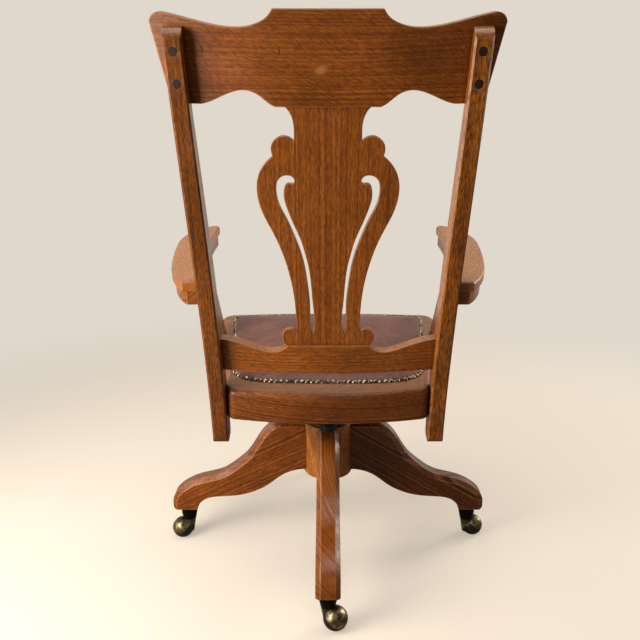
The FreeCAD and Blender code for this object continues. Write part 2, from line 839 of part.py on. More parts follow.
def make_spring():
    foot, head = spring_axis()
    height = (head - foot).Length
    steps = int(round(size("spring_turns") * 4))
    edges = []
    for number in range(steps):
        p0, t0 = spring_point(number / 4.0, height)
        p1, t1 = spring_point((number + 1) / 4.0, height)
        edges += biarc(p0, t0, p1, t1)
    path = Part.Wire(edges)
    start, way = spring_point(0.0, height)
    section = Part.Wire([Part.Circle(start, way, size("spring_wire") / 2).toShape()])
    shell = Part.BRepOffsetAPI.MakePipeShell(path)
    shell.add(section)
    shell.build()
    shell.makeSolid()
    solid = shell.shape()
    stations = [n / 8.0 for n in range(int((size("spring_turns") - 1) * 8) + 1)]
    gaps = [(spring_point(n + 1, height)[0] - spring_point(n, height)[0]).Length for n in stations]
    least = min(gaps) - size("spring_wire")
    wire_volume = math.pi * size("spring_wire") ** 2 / 4 * path.Length
    print(f"spring: least gap between turns {least:.2f}, volume {solid.Volume:.0f}, wire {wire_volume:.0f}")
    up = Rotation(Vector(0, 0, 1), head - foot)
    return solid, Placement(foot, up)


spring = doc.addObject("Part::Feature", "tilt_spring_coil")
spring.Shape, spring_place = make_spring()
spring.Placement = spring_place
keep(spring, "tilt_spring")


# Seat frame: four rails cut from one outline, bowed behind and tapered to the rear.

# How far the pad lies inside the seat: behind, in front and at the sides.
EDGES = {
    "seat": (0.0, 0.0, 0.0),
    "pad": (size("pad_rear_inset"), size("pad_front_inset"), size("pad_side_inset")),
}


def bowed_plan(name, inset=0.0):
    """Plan of the seat or its pad: bowed behind and in front, narrower to the rear."""
    rear_inset, front_inset, side_inset = EDGES[name]
    splay = math.tan(math.radians(size(name + "_splay")))
    rear_bow, front_bow = size(name + "_rear_bow"), size(name + "_front_bow")
    rear = size("seat_rear") - rear_inset - rear_bow - inset
    front = -size("seat_front") + front_inset + front_bow + inset
    half = size("seat_rear_half") - side_inset - inset
    rear_round = size(name + "_rear_corner")
    front_round = size(name + "_front_corner")

    def edge_x(y):
        return half + (rear - y) * splay

    def bow(edge, rise, reach):
        """Arc across the seat: its end, its middle and where its end tangent meets the side."""
        sagitta = rise * (reach / edge_x(edge)) ** 2
        steep = -2 * reach * sagitta / (reach * reach - sagitta * sagitta)
        x0, y0 = reach, edge + rise - sagitta
        tip_y = (y0 + steep * (edge_x(0.0) - x0)) / (1 + steep * splay)
        return (x0, y0), (0, edge + rise), (edge_x(tip_y), tip_y)
    rear_end, rear_middle, rear_tip = bow(rear, rear_bow, edge_x(rear) - rear_round)
    front_end, front_middle, front_tip = bow(front, -front_bow, edge_x(front) - front_round)
    side_rear = (edge_x(rear - rear_round), rear - rear_round)
    side_front = (edge_x(front + front_round), front + front_round)
    right = [
        blend(rear_end, rear_tip, side_rear),
        line(side_rear, side_front),
        blend(side_front, front_tip, front_end),
    ]
    rear_arc = arc((-rear_end[0], rear_end[1]), rear_middle, rear_end)
    front_arc = arc(front_end, front_middle, (-front_end[0], front_end[1]))
    return [rear_arc] + right + [front_arc] + list(reversed(mirrored(right)))


rear_corner_y = size("seat_rear") - size("seat_rear_bow")


def side_x(y):
    """Half width of the seat frame at a depth."""
    return size("seat_rear_half") + (rear_corner_y - y) * math.tan(math.radians(size("seat_splay")))


rail_w = size("rail_width")
rear_inner = size("seat_rear") - 0.5 * size("seat_rear_bow") - rail_w
front_inner = -size("seat_front") + rail_w + size("seat_front_bow")
far = 2 * size("seat_front")


def inner_x(y):
    return side_x(y) - rail_w


opening = [
    (inner_x(rear_inner), rear_inner), (inner_x(front_inner), front_inner),
    (-inner_x(front_inner), front_inner), (-inner_x(rear_inner), rear_inner),
]
REGIONS = {
    "seat_back_rail": [(-inner_x(rear_inner), rear_inner), (inner_x(rear_inner), rear_inner),
                       (inner_x(far), far), (-inner_x(far), far)],
    "seat_front_rail": [(-inner_x(front_inner), front_inner), (inner_x(front_inner), front_inner),
                        (inner_x(-far), -far), (-inner_x(-far), -far)],
    "seat_left_rail": [(inner_x(far), far), (inner_x(-far), -far), (2 * far, -far), (2 * far, far)],
}


def seat_blank(name):
    blank = padded(name, "XY", bowed_plan("seat"), "seat_thickness", None, False, seat_underside)
    eased(blank, "Fillet", "seat_top_round", flat("Z", seat_top))
    base = blank.Tip
    names = edges_where(base.Shape, flat("Z", seat_underside))
    fillet = blank.newObject("PartDesign::Fillet", name + "_under")
    fillet.Base = (base, names)
    bind(fillet, Radius="Sizes.seat_bottom_round")
    doc.recompute()
    blank.Placement = SEAT
    return blank


blank = seat_blank("seat_frame_blank")
RAILS = {}
for node, region in REGIONS.items():
    zone = padded(node + "_zone", "XY", polygon(region), "seat_thickness * 2", SEAT, False,
                  seat_underside - size("seat_thickness") / 2)
    RAILS[node] = common(node + "_sawn", blank, zone)

board = padded("seat_board_panel", "XY", polygon(opening), "board_thickness", SEAT, False, board_underside)
keep(board, "seat_board")
for name, side in SIDES:
    centre = side * bearer_middle
    half = size("bearer_width") / 2
    outline = box_outline(centre - half, front_inner, centre + half, rear_inner)
    bearer = padded("seat_bearer_blank_" + name, "XY", outline,
                    "seat_thickness - board_thickness - bearer_inset", SEAT, False, plate_top)
    keep(cut("seat_bearer_drilled_" + name, bearer, plate_screw_group), name + "_seat_bearer")


# Leather pad: an edge nailed down flat and a crown that swells over the stuffing.

def pad_wire(inset, height):
    wire = Part.Wire([item.toShape() for item in bowed_plan("pad", inset)])
    wire.translate(Vector(0, 0, height))
    return wire


# Steps of the crown: share of the half width drawn in, and share of the crown's height.
PAD_STEPS = [
    (0.01, 0.0), (0.04, 0.25), (0.09, 0.48), (0.17, 0.70), (0.28, 0.86), (0.42, 0.96), (0.55, 1.0),
]


def make_pad():
    base = seat_top
    edge, crown = size("pad_edge"), size("pad_crown")
    half = size("seat_rear_half") - size("pad_side_inset")
    wires = [pad_wire(0.0, base), pad_wire(0.0, base + edge / 2)]
    for run, rise in PAD_STEPS:
        wires.append(pad_wire(run * half, base + edge + (crown - edge) * rise))
    return Part.makeLoft(wires, True, True)


pad = doc.addObject("Part::Feature", "seat_pad_stuffed")
pad.Shape = make_pad()
pad.Placement = SEAT
keep(pad, "seat_pad")


# Back posts: sawn to shape in both views, let into the seat's corners and past them.

post_w = size("post_width")
post_rear = size("post_top_depth")
post_front = post_rear - size("post_depth")


# Outer face of a post: half width and level at the foot, the seat, the arm and the head.
post_run = post_top - size("post_bottom")
POST_LEVELS = [
    (post_foot_half, size("post_bottom")),
    (post_seat_half, size("post_bottom") + 0.15 * post_run),
    (post_arm_half, size("post_bottom") + 0.44 * post_run),
    (post_head_half, post_top),
]


def post_front_view():
    outer = list(POST_LEVELS)
    inner = [(x - post_w, z) for x, z in reversed(POST_LEVELS)]
    return [curve(outer), line(outer[-1], inner[0]), curve(inner), line(inner[-1], outer[0])]


def post_side_view():
    bottom, top = size("post_bottom"), post_top
    housing = crest_foot - 4.0
    swell = bottom + 0.45 * post_run
    head, heel_cut, toe_cut = 16.0, (6.0, 10.0), (8.0, 12.0)
    return [
        line((0, housing), (0, top)),
        corner((0, top), (post_rear * 0.9, top), (post_rear, top - head)),
        line((post_rear, top - head), (post_rear, bottom + heel_cut[1])),
        line((post_rear, bottom + heel_cut[1]), (post_rear - heel_cut[0], bottom)),
        line((post_rear - heel_cut[0], bottom), (post_front + toe_cut[0], bottom)),
        line((post_front + toe_cut[0], bottom), (post_front, bottom + toe_cut[1])),
        line((post_front, bottom + toe_cut[1]), (post_front, swell)),
        curve([(post_front, swell), (post_front * 0.72, swell + 0.45 * (crest_foot - swell)), (0, housing)]),
    ]


# Bowed stock for the crest and the lower rail: the rear face is one long arc.

def bow_radius():
    half, rise = size("bow_half_chord"), size("back_bow")
    return (half * half + rise * rise) / (2 * rise)


def bowed_band(name, half, thickness, foot, height):
    """Curved plank from -half to half, standing on the back plane."""
    radius, thick = bow_radius(), size(thickness)
    centre = size("back_bow") - radius
    inner = radius - thick
    swing = math.asin(half / radius)

    def point(r, a):
        return (r * math.sin(a), centre + r * math.cos(a))
    outline = [
        arc(point(radius, -swing), point(radius, 0), point(radius, swing)),
        line(point(radius, swing), point(inner, swing)),
        arc(point(inner, swing), point(inner, 0), point(inner, -swing)),
        line(point(inner, -swing), point(radius, -swing)),
    ]
    return padded(name, "XY", outline, height, BACK, False, foot)


# Edges of the crest and the lower rail beside their middle blocks: share of the way out
# to the end, and share of the height, both from the block's corner.
CREST_UPPER = [(0.0, 0.0), (0.055, 0.0929), (0.1361, 0.15), (0.2356, 0.1821), (0.3403, 0.1857),
               (0.5445, 0.1464), (0.712, 0.0929), (0.8953, 0.0393)]
CREST_LOWER = [(0.6126, 0.0214), (0.4974, 0.0714), (0.3717, 0.1464), (0.2461, 0.1786),
               (0.1361, 0.1321), (0.055, 0.0464), (-0.0052, 0.0)]
RAIL_UPPER = [(0.0, 0.1212), (0.0746, 0.2576), (0.1642, 0.3258), (0.2687, 0.3333), (0.4627, 0.2273),
              (0.6866, 0.0833), (0.8358, 0.0227), (1.0, 0.0)]
# Vase outline of the splat as shares of its half width and of its length, in the four
# curves between its corners: the collar, the ear, the body and the foot's lobe.
SPLAT_COLLAR = [(0.584, 1.0), (0.5176, 0.978), (0.4773, 0.949), (0.4639, 0.902), (0.4672, 0.872)]
SPLAT_EAR = [(0.4672, 0.872), (0.5294, 0.886), (0.6218, 0.891), (0.7143, 0.880), (0.7773, 0.858),
             (0.7849, 0.838), (0.7622, 0.815)]
SPLAT_BODY = [(0.7622, 0.815), (0.8782, 0.785), (0.9664, 0.745), (1.0, 0.70), (0.9832, 0.64),
              (0.9076, 0.575), (0.7941, 0.51), (0.6176, 0.378), (0.5185, 0.245), (0.4857, 0.127),
              (0.479, 0.064)]
SPLAT_LOBE = [(0.479, 0.064), (0.5294, 0.075), (0.605, 0.076), (0.6723, 0.066), (0.7042, 0.044),
              (0.6933, 0.020), (0.6471, 0.0)]
SLOT_OUTER = [(0.4689, 0.716), (0.4824, 0.730), (0.5168, 0.738), (0.5597, 0.741), (0.6319, 0.738),
              (0.6941, 0.724), (0.7277, 0.690), (0.7227, 0.660), (0.6908, 0.623), (0.5966, 0.567),
              (0.484, 0.492), (0.4017, 0.427), (0.3487, 0.369), (0.2983, 0.272), (0.2697, 0.17),
              (0.2664, 0.075), (0.2513, 0.052)]
SLOT_INNER = [(0.2513, 0.052), (0.2176, 0.075), (0.2218, 0.17), (0.2513, 0.272), (0.2933, 0.369),
              (0.3437, 0.427), (0.3933, 0.476), (0.4916, 0.542), (0.5798, 0.607), (0.6202, 0.650),
              (0.6185, 0.685), (0.5924, 0.703), (0.5504, 0.708), (0.5, 0.707), (0.4689, 0.716)]


def crest_outline():
    """Cloud-shaped crest: a tall middle block, dipped shoulders and rounded ends."""
    height, block = size("crest_height"), size("crest_block_half")
    top, low = crest_foot + height, crest_foot - size("crest_block_drop")
    reach = crest_half - block
    upper = [(block + x * reach, top - z * height) for x, z in CREST_UPPER]
    lower = [(block + x * reach, low + z * height) for x, z in CREST_LOWER]
    cheek, tip = (crest_half, top - 19.0), (crest_half - 1.0, top - 3.0)
    jaw, chin = (crest_half - 24.0, crest_foot + 8.0), (crest_half - 34.0, crest_foot)
    right = [
        line((0, top), upper[0]),
        curve(upper),
        corner(upper[-1], tip, cheek),
        line(cheek, jaw),
        corner(jaw, (crest_half - 27.0, crest_foot), chin),
        line(chin, lower[0]),
        curve(lower),
        line(lower[-1], (0, low)),
    ]
    return right + mirrored(right)


def rail_outline():
    """Lower rail: a middle block between two dips that rise to the posts."""
    height, block = size("rail_height"), size("rail_block_half")
    top = rail_foot + height
    half = post_seat_half - post_w + size("rail_tenon")
    upper = [(block + x * (half - block), top - z * height) for x, z in RAIL_UPPER]
    lower = [(half, rail_foot + 2.0), (half * 0.55, rail_foot + 0.5), (0, rail_foot - 1.0)]
    right = [line((0, upper[0][1]), upper[0]), curve(upper), line(upper[-1], lower[0]), curve(lower)]
    return right + mirrored(right)


def on_splat(points):
    """Points of the splat from shares of its half width and its length."""
    return [(x * size("splat_half"), splat_foot + z * size("splat_length")) for x, z in points]


def splat_outline():
    """Vase outline with ears, belly, waist and foot lobes, and a tenon at each end."""
    head, foot = splat_head + size("splat_tenon"), splat_foot - size("splat_tenon")
    collar, ear, body, lobe = [on_splat(p) for p in (SPLAT_COLLAR, SPLAT_EAR, SPLAT_BODY, SPLAT_LOBE)]
    shoulder, root = (0.58 * size("splat_half"), head), (0.605 * size("splat_half"), foot)
    right = [
        line((0, head), shoulder),
        line(shoulder, collar[0]),
        curve(collar),
        curve(ear),
        curve(body),
        curve(lobe),
        line(lobe[-1], root),
        line(root, (0, foot)),
    ]
    return right + mirrored(right)


def slot_outline(side):
    """One scroll-headed slot: a hook at the top that narrows to a point at the foot."""
    slot = [curve(on_splat(SLOT_OUTER)), curve(on_splat(SLOT_INNER))]
    return slot if side > 0 else mirrored(slot)


# Spare wood above and below each sawn outline, and a pad length that passes any piece.
SPARE = 20.0
THROUGH = "seat_front * 3"
crest_stock = bowed_band("crest_plank", crest_half + SPARE / 4, "crest_thickness",
                         crest_foot - SPARE, f"crest_height + {2 * SPARE}")
crest_shape = padded("crest_pattern", "XZ", crest_outline(), THROUGH, BACK)
crest_sawn = common("crest_sawn", crest_stock, crest_shape)

rail_stock = bowed_band("lower_rail_plank", post_seat_half + SPARE / 4, "rail_thickness",
                        rail_foot - SPARE, f"rail_height + {2 * SPARE}")
rail_shape = padded("lower_rail_pattern", "XZ", rail_outline(), THROUGH, BACK)
rail_sawn = common("lower_rail_sawn", rail_stock, rail_shape)

splat_place = BACK * at(0, size("back_bow") - (size("rail_thickness") + size("splat_setback")) / 2, 0)
splat_blank = padded("splat_panel", "XZ", splat_outline(), "splat_thickness", splat_place)
splat_slots = []
for name, side in SIDES:
    splat_slots.append(padded("splat_slot_" + name, "XZ", slot_outline(side), THROUGH, splat_place))
splat = keep(cut("splat_sawn", splat_blank, fuse("splat_slots", splat_slots)), "splat")


# Screws and plugs: the crest, the seat, the arms and the stumps are screwed through
# counterbores that round wood plugs close.

def screw_and_plug(tag, place, length):
    """Screw along -Z of a placement on a face, with its plug flush in that face."""
    radius = size("screw_diameter") / 2
    sink = size("plug_depth") + size("plug_room")
    head = doc.addObject("Part::Cone", "screw_head_" + tag)
    bind(head, Radius1="Sizes.screw_diameter / 2", Radius2="Sizes.screw_diameter")
    bind(head, Height="Sizes.screw_diameter / 2")
    head.Placement = place * at(0, 0, -sink - radius)
    shank_place = place * at(0, 0, -sink - size(length) - radius)
    shank = cylinder("screw_shank_" + tag, "screw_diameter / 2", length, shank_place)
    plug_place = place * at(0, 0, -size("plug_depth"))
    plug = cylinder("plug_round_" + tag, "plug_diameter / 2", "plug_depth", plug_place)
    bore_place = place * at(0, 0, -sink)
    bore = cylinder("plug_bore_" + tag, "plug_diameter / 2", "plug_depth + plug_room", bore_place)
    return fuse("screw_" + tag, [head, shank]), plug, bore


screws, plugs, bores = [], [], []


def add_fixing(tag, place, length):
    screw, plug, bore = screw_and_plug(tag, place, length)
    screws.append(screw)
    plugs.append(plug)
    bores.append(bore)


def post_outer_x(z):
    """Half width of the chair over a post's outer face at a level of the back."""
    for (x0, z0), (x1, z1) in zip(POST_LEVELS, POST_LEVELS[1:]):
        if z <= z1:
            return x0 + (x1 - x0) * (z - z0) / (z1 - z0)
    return post_head_half


crest_screw_levels = [crest_foot + share * size("crest_height") for share in (0.235, 0.575)]
seat_screw_levels = [share * size("seat_thickness") for share in (0.29, 0.71)]
arm_middle = arm_board_base - size("arm_rail_height") / 2
post_middle_y = (post_rear + post_front) / 2
for name, side in SIDES:
    for number, z in enumerate(crest_screw_levels):
        x = side * (post_outer_x(z) - post_w / 2)
        add_fixing(f"crest_{name}_{number}", BACK * at(x, post_rear, z) * turned(-90, "X"), "crest_screw")
    for number, rise in enumerate(seat_screw_levels):
        z = size("back_drop") + rise
        place = BACK * at(side * post_outer_x(z), post_middle_y, z) * turned(90 * side, "Y")
        add_fixing(f"seat_{name}_{number}", place, "seat_screw")

post_face = padded("post_face", "XZ", post_front_view(), THROUGH, BACK)
post_cheek = padded("post_cheek", "YZ", post_side_view(), THROUGH, BACK)
post_square = common("left_post_sawn", post_face, post_cheek)
left_post = doc.addObject("Part::Chamfer", "left_post_chamfered")
left_post.Base = post_square
long_edges = [n for n, edge in enumerate(post_square.Shape.Edges, 1) if edge.BoundBox.ZLength > 2 * post_w]
left_post.Edges = [(n, size("post_chamfer"), size("post_chamfer")) for n in long_edges]
doc.recompute()
right_post = other_side("right_post_sawn", left_post)


# Arms: a paddle board on an inset rail, carried by an S-shaped stump off the seat side.

# Outer edge of an arm from the post to its front: how far it lies inside the arm's
# widest line, as a share of its breadth, its place along the arm, and how much of the
# rail's inset it takes across and along.
ARM_OUTER = [
    (0.6901, 1.0, 1.0, -0.5), (0.5029, 0.93, 1.0, 0.0), (0.3509, 0.85, 1.0, 0.0), (0.1871, 0.70, 1.0, 0.0),
    (0.1053, 0.585, 1.0, 0.0), (0.0175, 0.41, 1.0, 0.0), (0.0, 0.30, 1.0, 0.0), (0.0702, 0.19, 1.0, 0.0),
    (0.2924, 0.075, 0.8, 0.0),
]


def arm_outline(inset):
    """Plan of one arm; the inset pulls in the outer and front edges."""
    rear, front = back_y + size("arm_past_back"), size("arm_front_inset") - size("seat_front")
    wide = post_arm_half + size("arm_breadth")
    length = rear - front
    nose = 14.0

    def along(share):
        return front + share * length
    outer = [(wide - x * size("arm_breadth") - across * inset, along(share) + down * inset)
             for x, share, across, down in ARM_OUTER]
    tip = (arm_inner + nose + inset * 0.4, front + inset)
    inner = [
        (arm_inner + inset * 0.6, front + nose - 2.0 + inset), (arm_inner - 0.5 + inset * 0.5, along(0.38)),
        (arm_inner - 9.0 + inset * 0.2, along(0.66)), (post_arm_half + 0.6, along(0.84)),
    ]
    root = (inner[-1][0], outer[0][1])
    return [
        curve(outer + [tip]),
        corner(tip, (inner[0][0], tip[1]), inner[0]),
        curve(inner),
        line(inner[-1], root),
        line(root, outer[0]),
    ]


# Side view of a stump: place across as shares of its width and level as a share of its height.
STUMP_REAR = [(0.5, 0.0), (0.5, 0.2), (0.3226, 0.45), (0.2258, 0.65), (0.3871, 0.88), (0.5645, 1.0)]
STUMP_FRONT = [(-0.7581, 1.0), (-0.5806, 0.86), (-0.4839, 0.66), (-0.2903, 0.42), (-0.4355, 0.2), (-0.5, 0.0)]


def stump_front_view():
    """S-curved band from the seat side up and outward to the arm."""
    half = size("stump_thickness") / 2
    run = arm_rail_base - stump_foot
    head = arm_inner + size("stump_inset")
    bends = [(stump_side + half, 0.0), (stump_side + half - 4.0, 0.27), (stump_side + half + 2.0, 0.45),
             (head - 8.8, 0.70), (head, 1.0)]
    centre = [(x, stump_foot + share * run) for x, share in bends]
    inner = [(x - half, z) for x, z in centre]
    outer = [(x + half, z) for x, z in reversed(centre)]
    return [curve(inner), line(inner[-1], outer[0]), curve(outer), line(outer[-1], inner[0])]


def stump_side_view():
    """A waist between a broad foot and a broader head."""
    run, width = arm_rail_base - stump_foot, size("stump_width")
    rear = [(stump_y + x * width, stump_foot + share * run) for x, share in STUMP_REAR]
    front = [(stump_y + x * width, stump_foot + share * run) for x, share in STUMP_FRONT]
    return [curve(rear), line(rear[-1], front[0]), curve(front), line(front[-1], rear[0])]


stump_foot = seat_underside + size("stump_foot_rise")
stump_side = side_x(stump_y) + 1.0
paddle = padded("arm_board_blank", "XY", arm_outline(0.0), "arm_board_thickness", None, False, arm_board_base)
eased(paddle, "Fillet", "arm_board_thickness / 3.6", flat("Z", arm_board_base + size("arm_board_thickness")))
paddle.Placement = SEAT
under_rail = padded("arm_rail_blank", "XY", arm_outline(size("arm_inset")), "arm_rail_height", SEAT, False,
                    arm_rail_base)
stump_face = padded("stump_face", "XZ", stump_front_view(), THROUGH, SEAT)
stump_cheek = padded("stump_cheek", "YZ", stump_side_view(), THROUGH, SEAT)
stump = common("stump_sawn", stump_face, stump_cheek)

arm_screw_x = post_arm_half - post_w
arm_screw_y = back_y + size("arm_past_back") - size("stump_thickness") / 2
stump_outer_x = stump_side + size("stump_thickness") - 2.0
for name, side in SIDES:
    place = SEAT * at(side * arm_screw_x, arm_screw_y, arm_middle) * turned(-90 * side, "Y")
    add_fixing(f"arm_{name}", place, "arm_screw")
    for number, rise in enumerate(seat_screw_levels):
        place = SEAT * at(side * stump_outer_x, stump_y, seat_underside + rise) * turned(90 * side, "Y")
        add_fixing(f"stump_{name}_{number}", place, "stump_screw")

screw_group = keep(loose_group("frame_screw_group", screws), "frame_screws")
plug_group = keep(loose_group("screw_plug_group", plugs), "screw_plugs")
bore_group = fuse("fixing_bores", bores + screws)

post_housing = fuse("post_housing", [crest_sawn, rail_sawn, bore_group])
crest_mortise = fuse("crest_mortise", [splat, bore_group])
seat_housing = fuse("seat_housing", [left_post, right_post, bore_group])
arm_housing = fuse("arm_housing", [left_post, bore_group])
stump_housing = fuse("stump_housing", [RAILS["seat_left_rail"], bore_group])

keep(cut("crest_finished", crest_sawn, crest_mortise), "crest_rail")
keep(cut("lower_rail_finished", rail_sawn, splat), "lower_back_rail")
keep(cut("seat_back_rail_finished", RAILS["seat_back_rail"], seat_housing), "seat_back_rail")
keep(cut("seat_front_rail_finished", RAILS["seat_front_rail"], seat_housing), "seat_front_rail")
PAIRS = [
    ("back_post", left_post, post_housing),
    ("arm_board", paddle, arm_housing),
    ("arm_rail", under_rail, arm_housing),
    ("arm_stump", stump, stump_housing),
    ("seat_rail", RAILS["seat_left_rail"], seat_housing),
]
for kind, stock, tools in PAIRS:
    names = ["seat_left_rail", "seat_right_rail"] if kind == "seat_rail" else ["left_" + kind, "right_" + kind]
    finished = keep(cut(kind + "_finished", stock, tools), names[0])
    keep(other_side(kind + "_twin", finished), names[1])


# Casters: a brass hood and a dark wheel share one ball; the wheel's axle leans inward.

ball = size("caster_ball") / 2
axle_tilt = size("caster_tilt")
CASTER_TURN = {"left": 18.0, "right": 20.0, "front": -35.0, "rear": 60.0}


def half_ball_profile(start, bore, recess):
    """Half profile of a ball segment that begins a little off the ball's centre."""
    rim = math.sqrt(ball * ball - start * start)
    low = math.atan2(start, rim)
    mid = (math.pi / 2 + low) / 2
    top = math.sqrt(ball * ball - bore * bore)
    return [
        line((bore, start + recess), (rim * 0.55, start + recess)),
        line((rim * 0.55, start + recess), (rim * 0.62, start)),
        line((rim * 0.62, start), (rim, start)),
        arc((rim, start), (ball * math.cos(mid), ball * math.sin(mid)), (bore, top)),
        line((bore, top), (bore, start + recess)),
    ]


def socket_profile():
    """Thin tube up into the foot, with a flange under it."""
    bore = size("stem_diameter") / 2 + size("running_clearance")
    tube, flange = size("stem_diameter") / 2 + size("socket_wall"), size("socket_flange") / 2
    foot = size("foot_bottom")
    under, top = foot - size("socket_wall"), foot + size("stem_length") + size("socket_wall")
    return polygon([(bore, under), (flange, under), (flange, foot), (tube, foot), (tube, top), (bore, top)])


def solid_half_profile(start):
    rim = math.sqrt(ball * ball - start * start)
    mid = (math.pi / 2 + math.atan2(start, rim)) / 2
    return [
        line((0, start), (rim, start)),
        arc((rim, start), (ball * math.cos(mid), ball * math.sin(mid)), (0, ball)),
        line((0, ball), (0, start)),
    ]


neck_top = size("foot_bottom") - size("socket_wall") - size("face_clearance")


def neck_profile():
    """Neck below the leg that narrows to an arm down the inner side of the ball."""
    radius, stem_radius = size("neck_diameter") / 2, size("stem_diameter") / 2
    tip = size("foot_bottom") + size("stem_length")
    slim = ball - size("caster_trail") + 3.0
    low = ball * 0.5
    shoulder = ball + (neck_top - ball) * 0.7
    waist = (slim + (radius - slim) * 0.45, (ball + shoulder) / 2)
    return [
        line((0, low), (slim - 2.0, low)),
        curve([(slim - 2.0, low), (slim, ball), waist, (radius, shoulder)]),
        line((radius, shoulder), (radius, neck_top)),
        line((radius, neck_top), (stem_radius, neck_top)),
        line((stem_radius, neck_top), (stem_radius, tip)),
        line((stem_radius, tip), (0, tip)),
        line((0, tip), (0, low)),
    ]


for spot, angle in LEGS:
    stem = turned(angle) * at(caster_circle, 0, 0) * turned(CASTER_TURN[spot])
    centre = stem * at(size("caster_trail"), 0, ball)
    lean = centre * turned(90 - axle_tilt, "Y")
    gap = size("caster_split_gap") / 2
    room = ball + 1.0

    socket = turning(f"caster_socket_{spot}_tube", socket_profile(), stem)
    keep(socket, f"caster_socket_{spot}")

    hood_half = turning(f"caster_hood_{spot}_half", solid_half_profile(gap), lean)
    neck = turning(f"caster_hood_{spot}_neck", neck_profile(), stem)
    wheel_room = turning(f"caster_hood_{spot}_room", [
        line((0, gap), (room, gap)),
        line((room, gap), (room, 0)),
        arc((room, 0), (room * math.cos(math.pi / 4), -room * math.sin(math.pi / 4)), (0, -room)),
        line((0, -room), (0, gap)),
    ], lean)
    axle_reach = ball * 0.62
    axle = cylinder(f"caster_axle_{spot}_rod", "caster_axle / 2", str(2 * axle_reach), lean * at(0, 0, -axle_reach))
    neck_cut = cut(f"caster_neck_{spot}_cut", neck, wheel_room)
    hood = cut(f"caster_hood_{spot}_bored", fuse(f"caster_hood_{spot}_cast", [hood_half, neck_cut]), axle)
    keep(hood, f"caster_hood_{spot}")
    keep(axle, f"caster_axle_{spot}")

    wheel = turning(f"caster_wheel_{spot}_tread", half_ball_profile(
        gap, size("caster_axle") / 2 + size("running_clearance"), 2.0), lean * turned(180, "X"))
    keep(wheel, f"caster_wheel_{spot}")


# Every object must have recomputed cleanly before anything is written.

doc.recompute()
for obj in doc.Objects:
    if "Invalid" in obj.State or "Error" in obj.State:
        raise RuntimeError(f"{obj.Name} failed: {obj.State}")
os.makedirs("parts", exist_ok=True)
for label, obj in PARTS.items():
    shape = obj.Shape
    if shape.isNull() or not shape.isValid() or not shape.Solids:
        raise RuntimeError(f"{label} has no valid solid")
    shape.exportStep(f"parts/{label}.step")
    print(f"{label}: {len(shape.Solids)} solid, {shape.Volume / 1000.0:.1f} cm3")
print(f"{len(PARTS)} sub-parts")
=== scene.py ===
import math
import bmesh
import bpy
from mathutils import Matrix, Vector, noise


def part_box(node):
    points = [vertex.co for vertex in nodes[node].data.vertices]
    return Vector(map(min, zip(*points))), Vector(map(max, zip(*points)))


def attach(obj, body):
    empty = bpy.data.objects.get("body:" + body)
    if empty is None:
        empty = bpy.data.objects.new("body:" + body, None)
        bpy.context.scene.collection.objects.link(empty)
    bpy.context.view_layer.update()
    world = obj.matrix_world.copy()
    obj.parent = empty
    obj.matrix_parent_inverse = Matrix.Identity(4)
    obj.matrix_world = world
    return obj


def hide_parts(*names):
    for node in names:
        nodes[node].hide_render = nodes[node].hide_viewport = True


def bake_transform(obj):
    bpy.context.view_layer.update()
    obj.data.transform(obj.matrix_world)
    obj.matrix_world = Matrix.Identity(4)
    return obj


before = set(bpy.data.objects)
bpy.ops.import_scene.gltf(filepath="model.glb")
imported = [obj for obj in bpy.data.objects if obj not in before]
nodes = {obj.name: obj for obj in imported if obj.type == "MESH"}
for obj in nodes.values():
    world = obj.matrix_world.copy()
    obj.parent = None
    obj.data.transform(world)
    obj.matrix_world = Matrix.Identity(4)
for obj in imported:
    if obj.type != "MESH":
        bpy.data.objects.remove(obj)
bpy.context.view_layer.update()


# Oak of the whole frame: red oak under a golden stain and an old rubbed varnish. Growth
# rings give the long figure, open pores the short dark ticks along the grain, and the
# arrises are paler, partly rubbed by handling and partly painted highlight.

def srgb(code):
    """Linear RGBA of an sRGB hex colour."""
    channels = [int(code[i:i + 2], 16) / 255 for i in (0, 2, 4)]
    return [c / 12.92 if c <= 0.04045 else ((c + 0.055) / 1.055) ** 2.4 for c in channels] + [1.0]


def darker(colour, share):
    """A linear colour at a share of its strength."""
    return [channel * share for channel in colour[:3]] + [1.0]


def feed(tree, value, socket):
    """Link a socket, or the first output that a node shows, to an input, or set the input."""
    if isinstance(value, bpy.types.Node):
        value = next(output for output in value.outputs if output.enabled)
    if isinstance(value, bpy.types.NodeSocket):
        tree.links.new(value, socket)
    else:
        socket.default_value = value


def add(tree, kind, *values, stops=(), **named):
    """Add a node. Values feed the inputs that it shows, in order. A name with a capital is an
    input, any other a setting, and stops are a ramp's positions with their colours."""
    made = tree.nodes.new(kind)
    for name, value in named.items():
        if name[0].islower():
            setattr(made, name, value)
    for value, socket in zip(values, [socket for socket in made.inputs if socket.enabled]):
        feed(tree, value, socket)
    for name, value in named.items():
        if name[0].isupper():
            feed(tree, value, made.inputs[name])
    elements = made.color_ramp.elements if stops else ()
    while len(elements) < len(stops):
        elements.new(0.5)
    for element, (position, colour) in zip(elements, stops):
        element.position = position
        element.color = [colour, colour, colour, 1.0] if isinstance(colour, float) else colour
    return made


def cells(*sizes):
    """Scale of a pattern, in cells per metre, from the size of one in mm."""
    return [1000.0 / size for size in sizes] if len(sizes) > 1 else 1000.0 / sizes[0]


def new_material(name):
    """Material with its tree, its shader and the object's own coordinates."""
    material = bpy.data.materials.new(name)
    material.use_nodes = True
    tree = material.node_tree
    shader = tree.nodes["Principled BSDF"]
    place = add(tree, "ShaderNodeTexCoord").outputs["Object"]
    return material, tree, shader, place


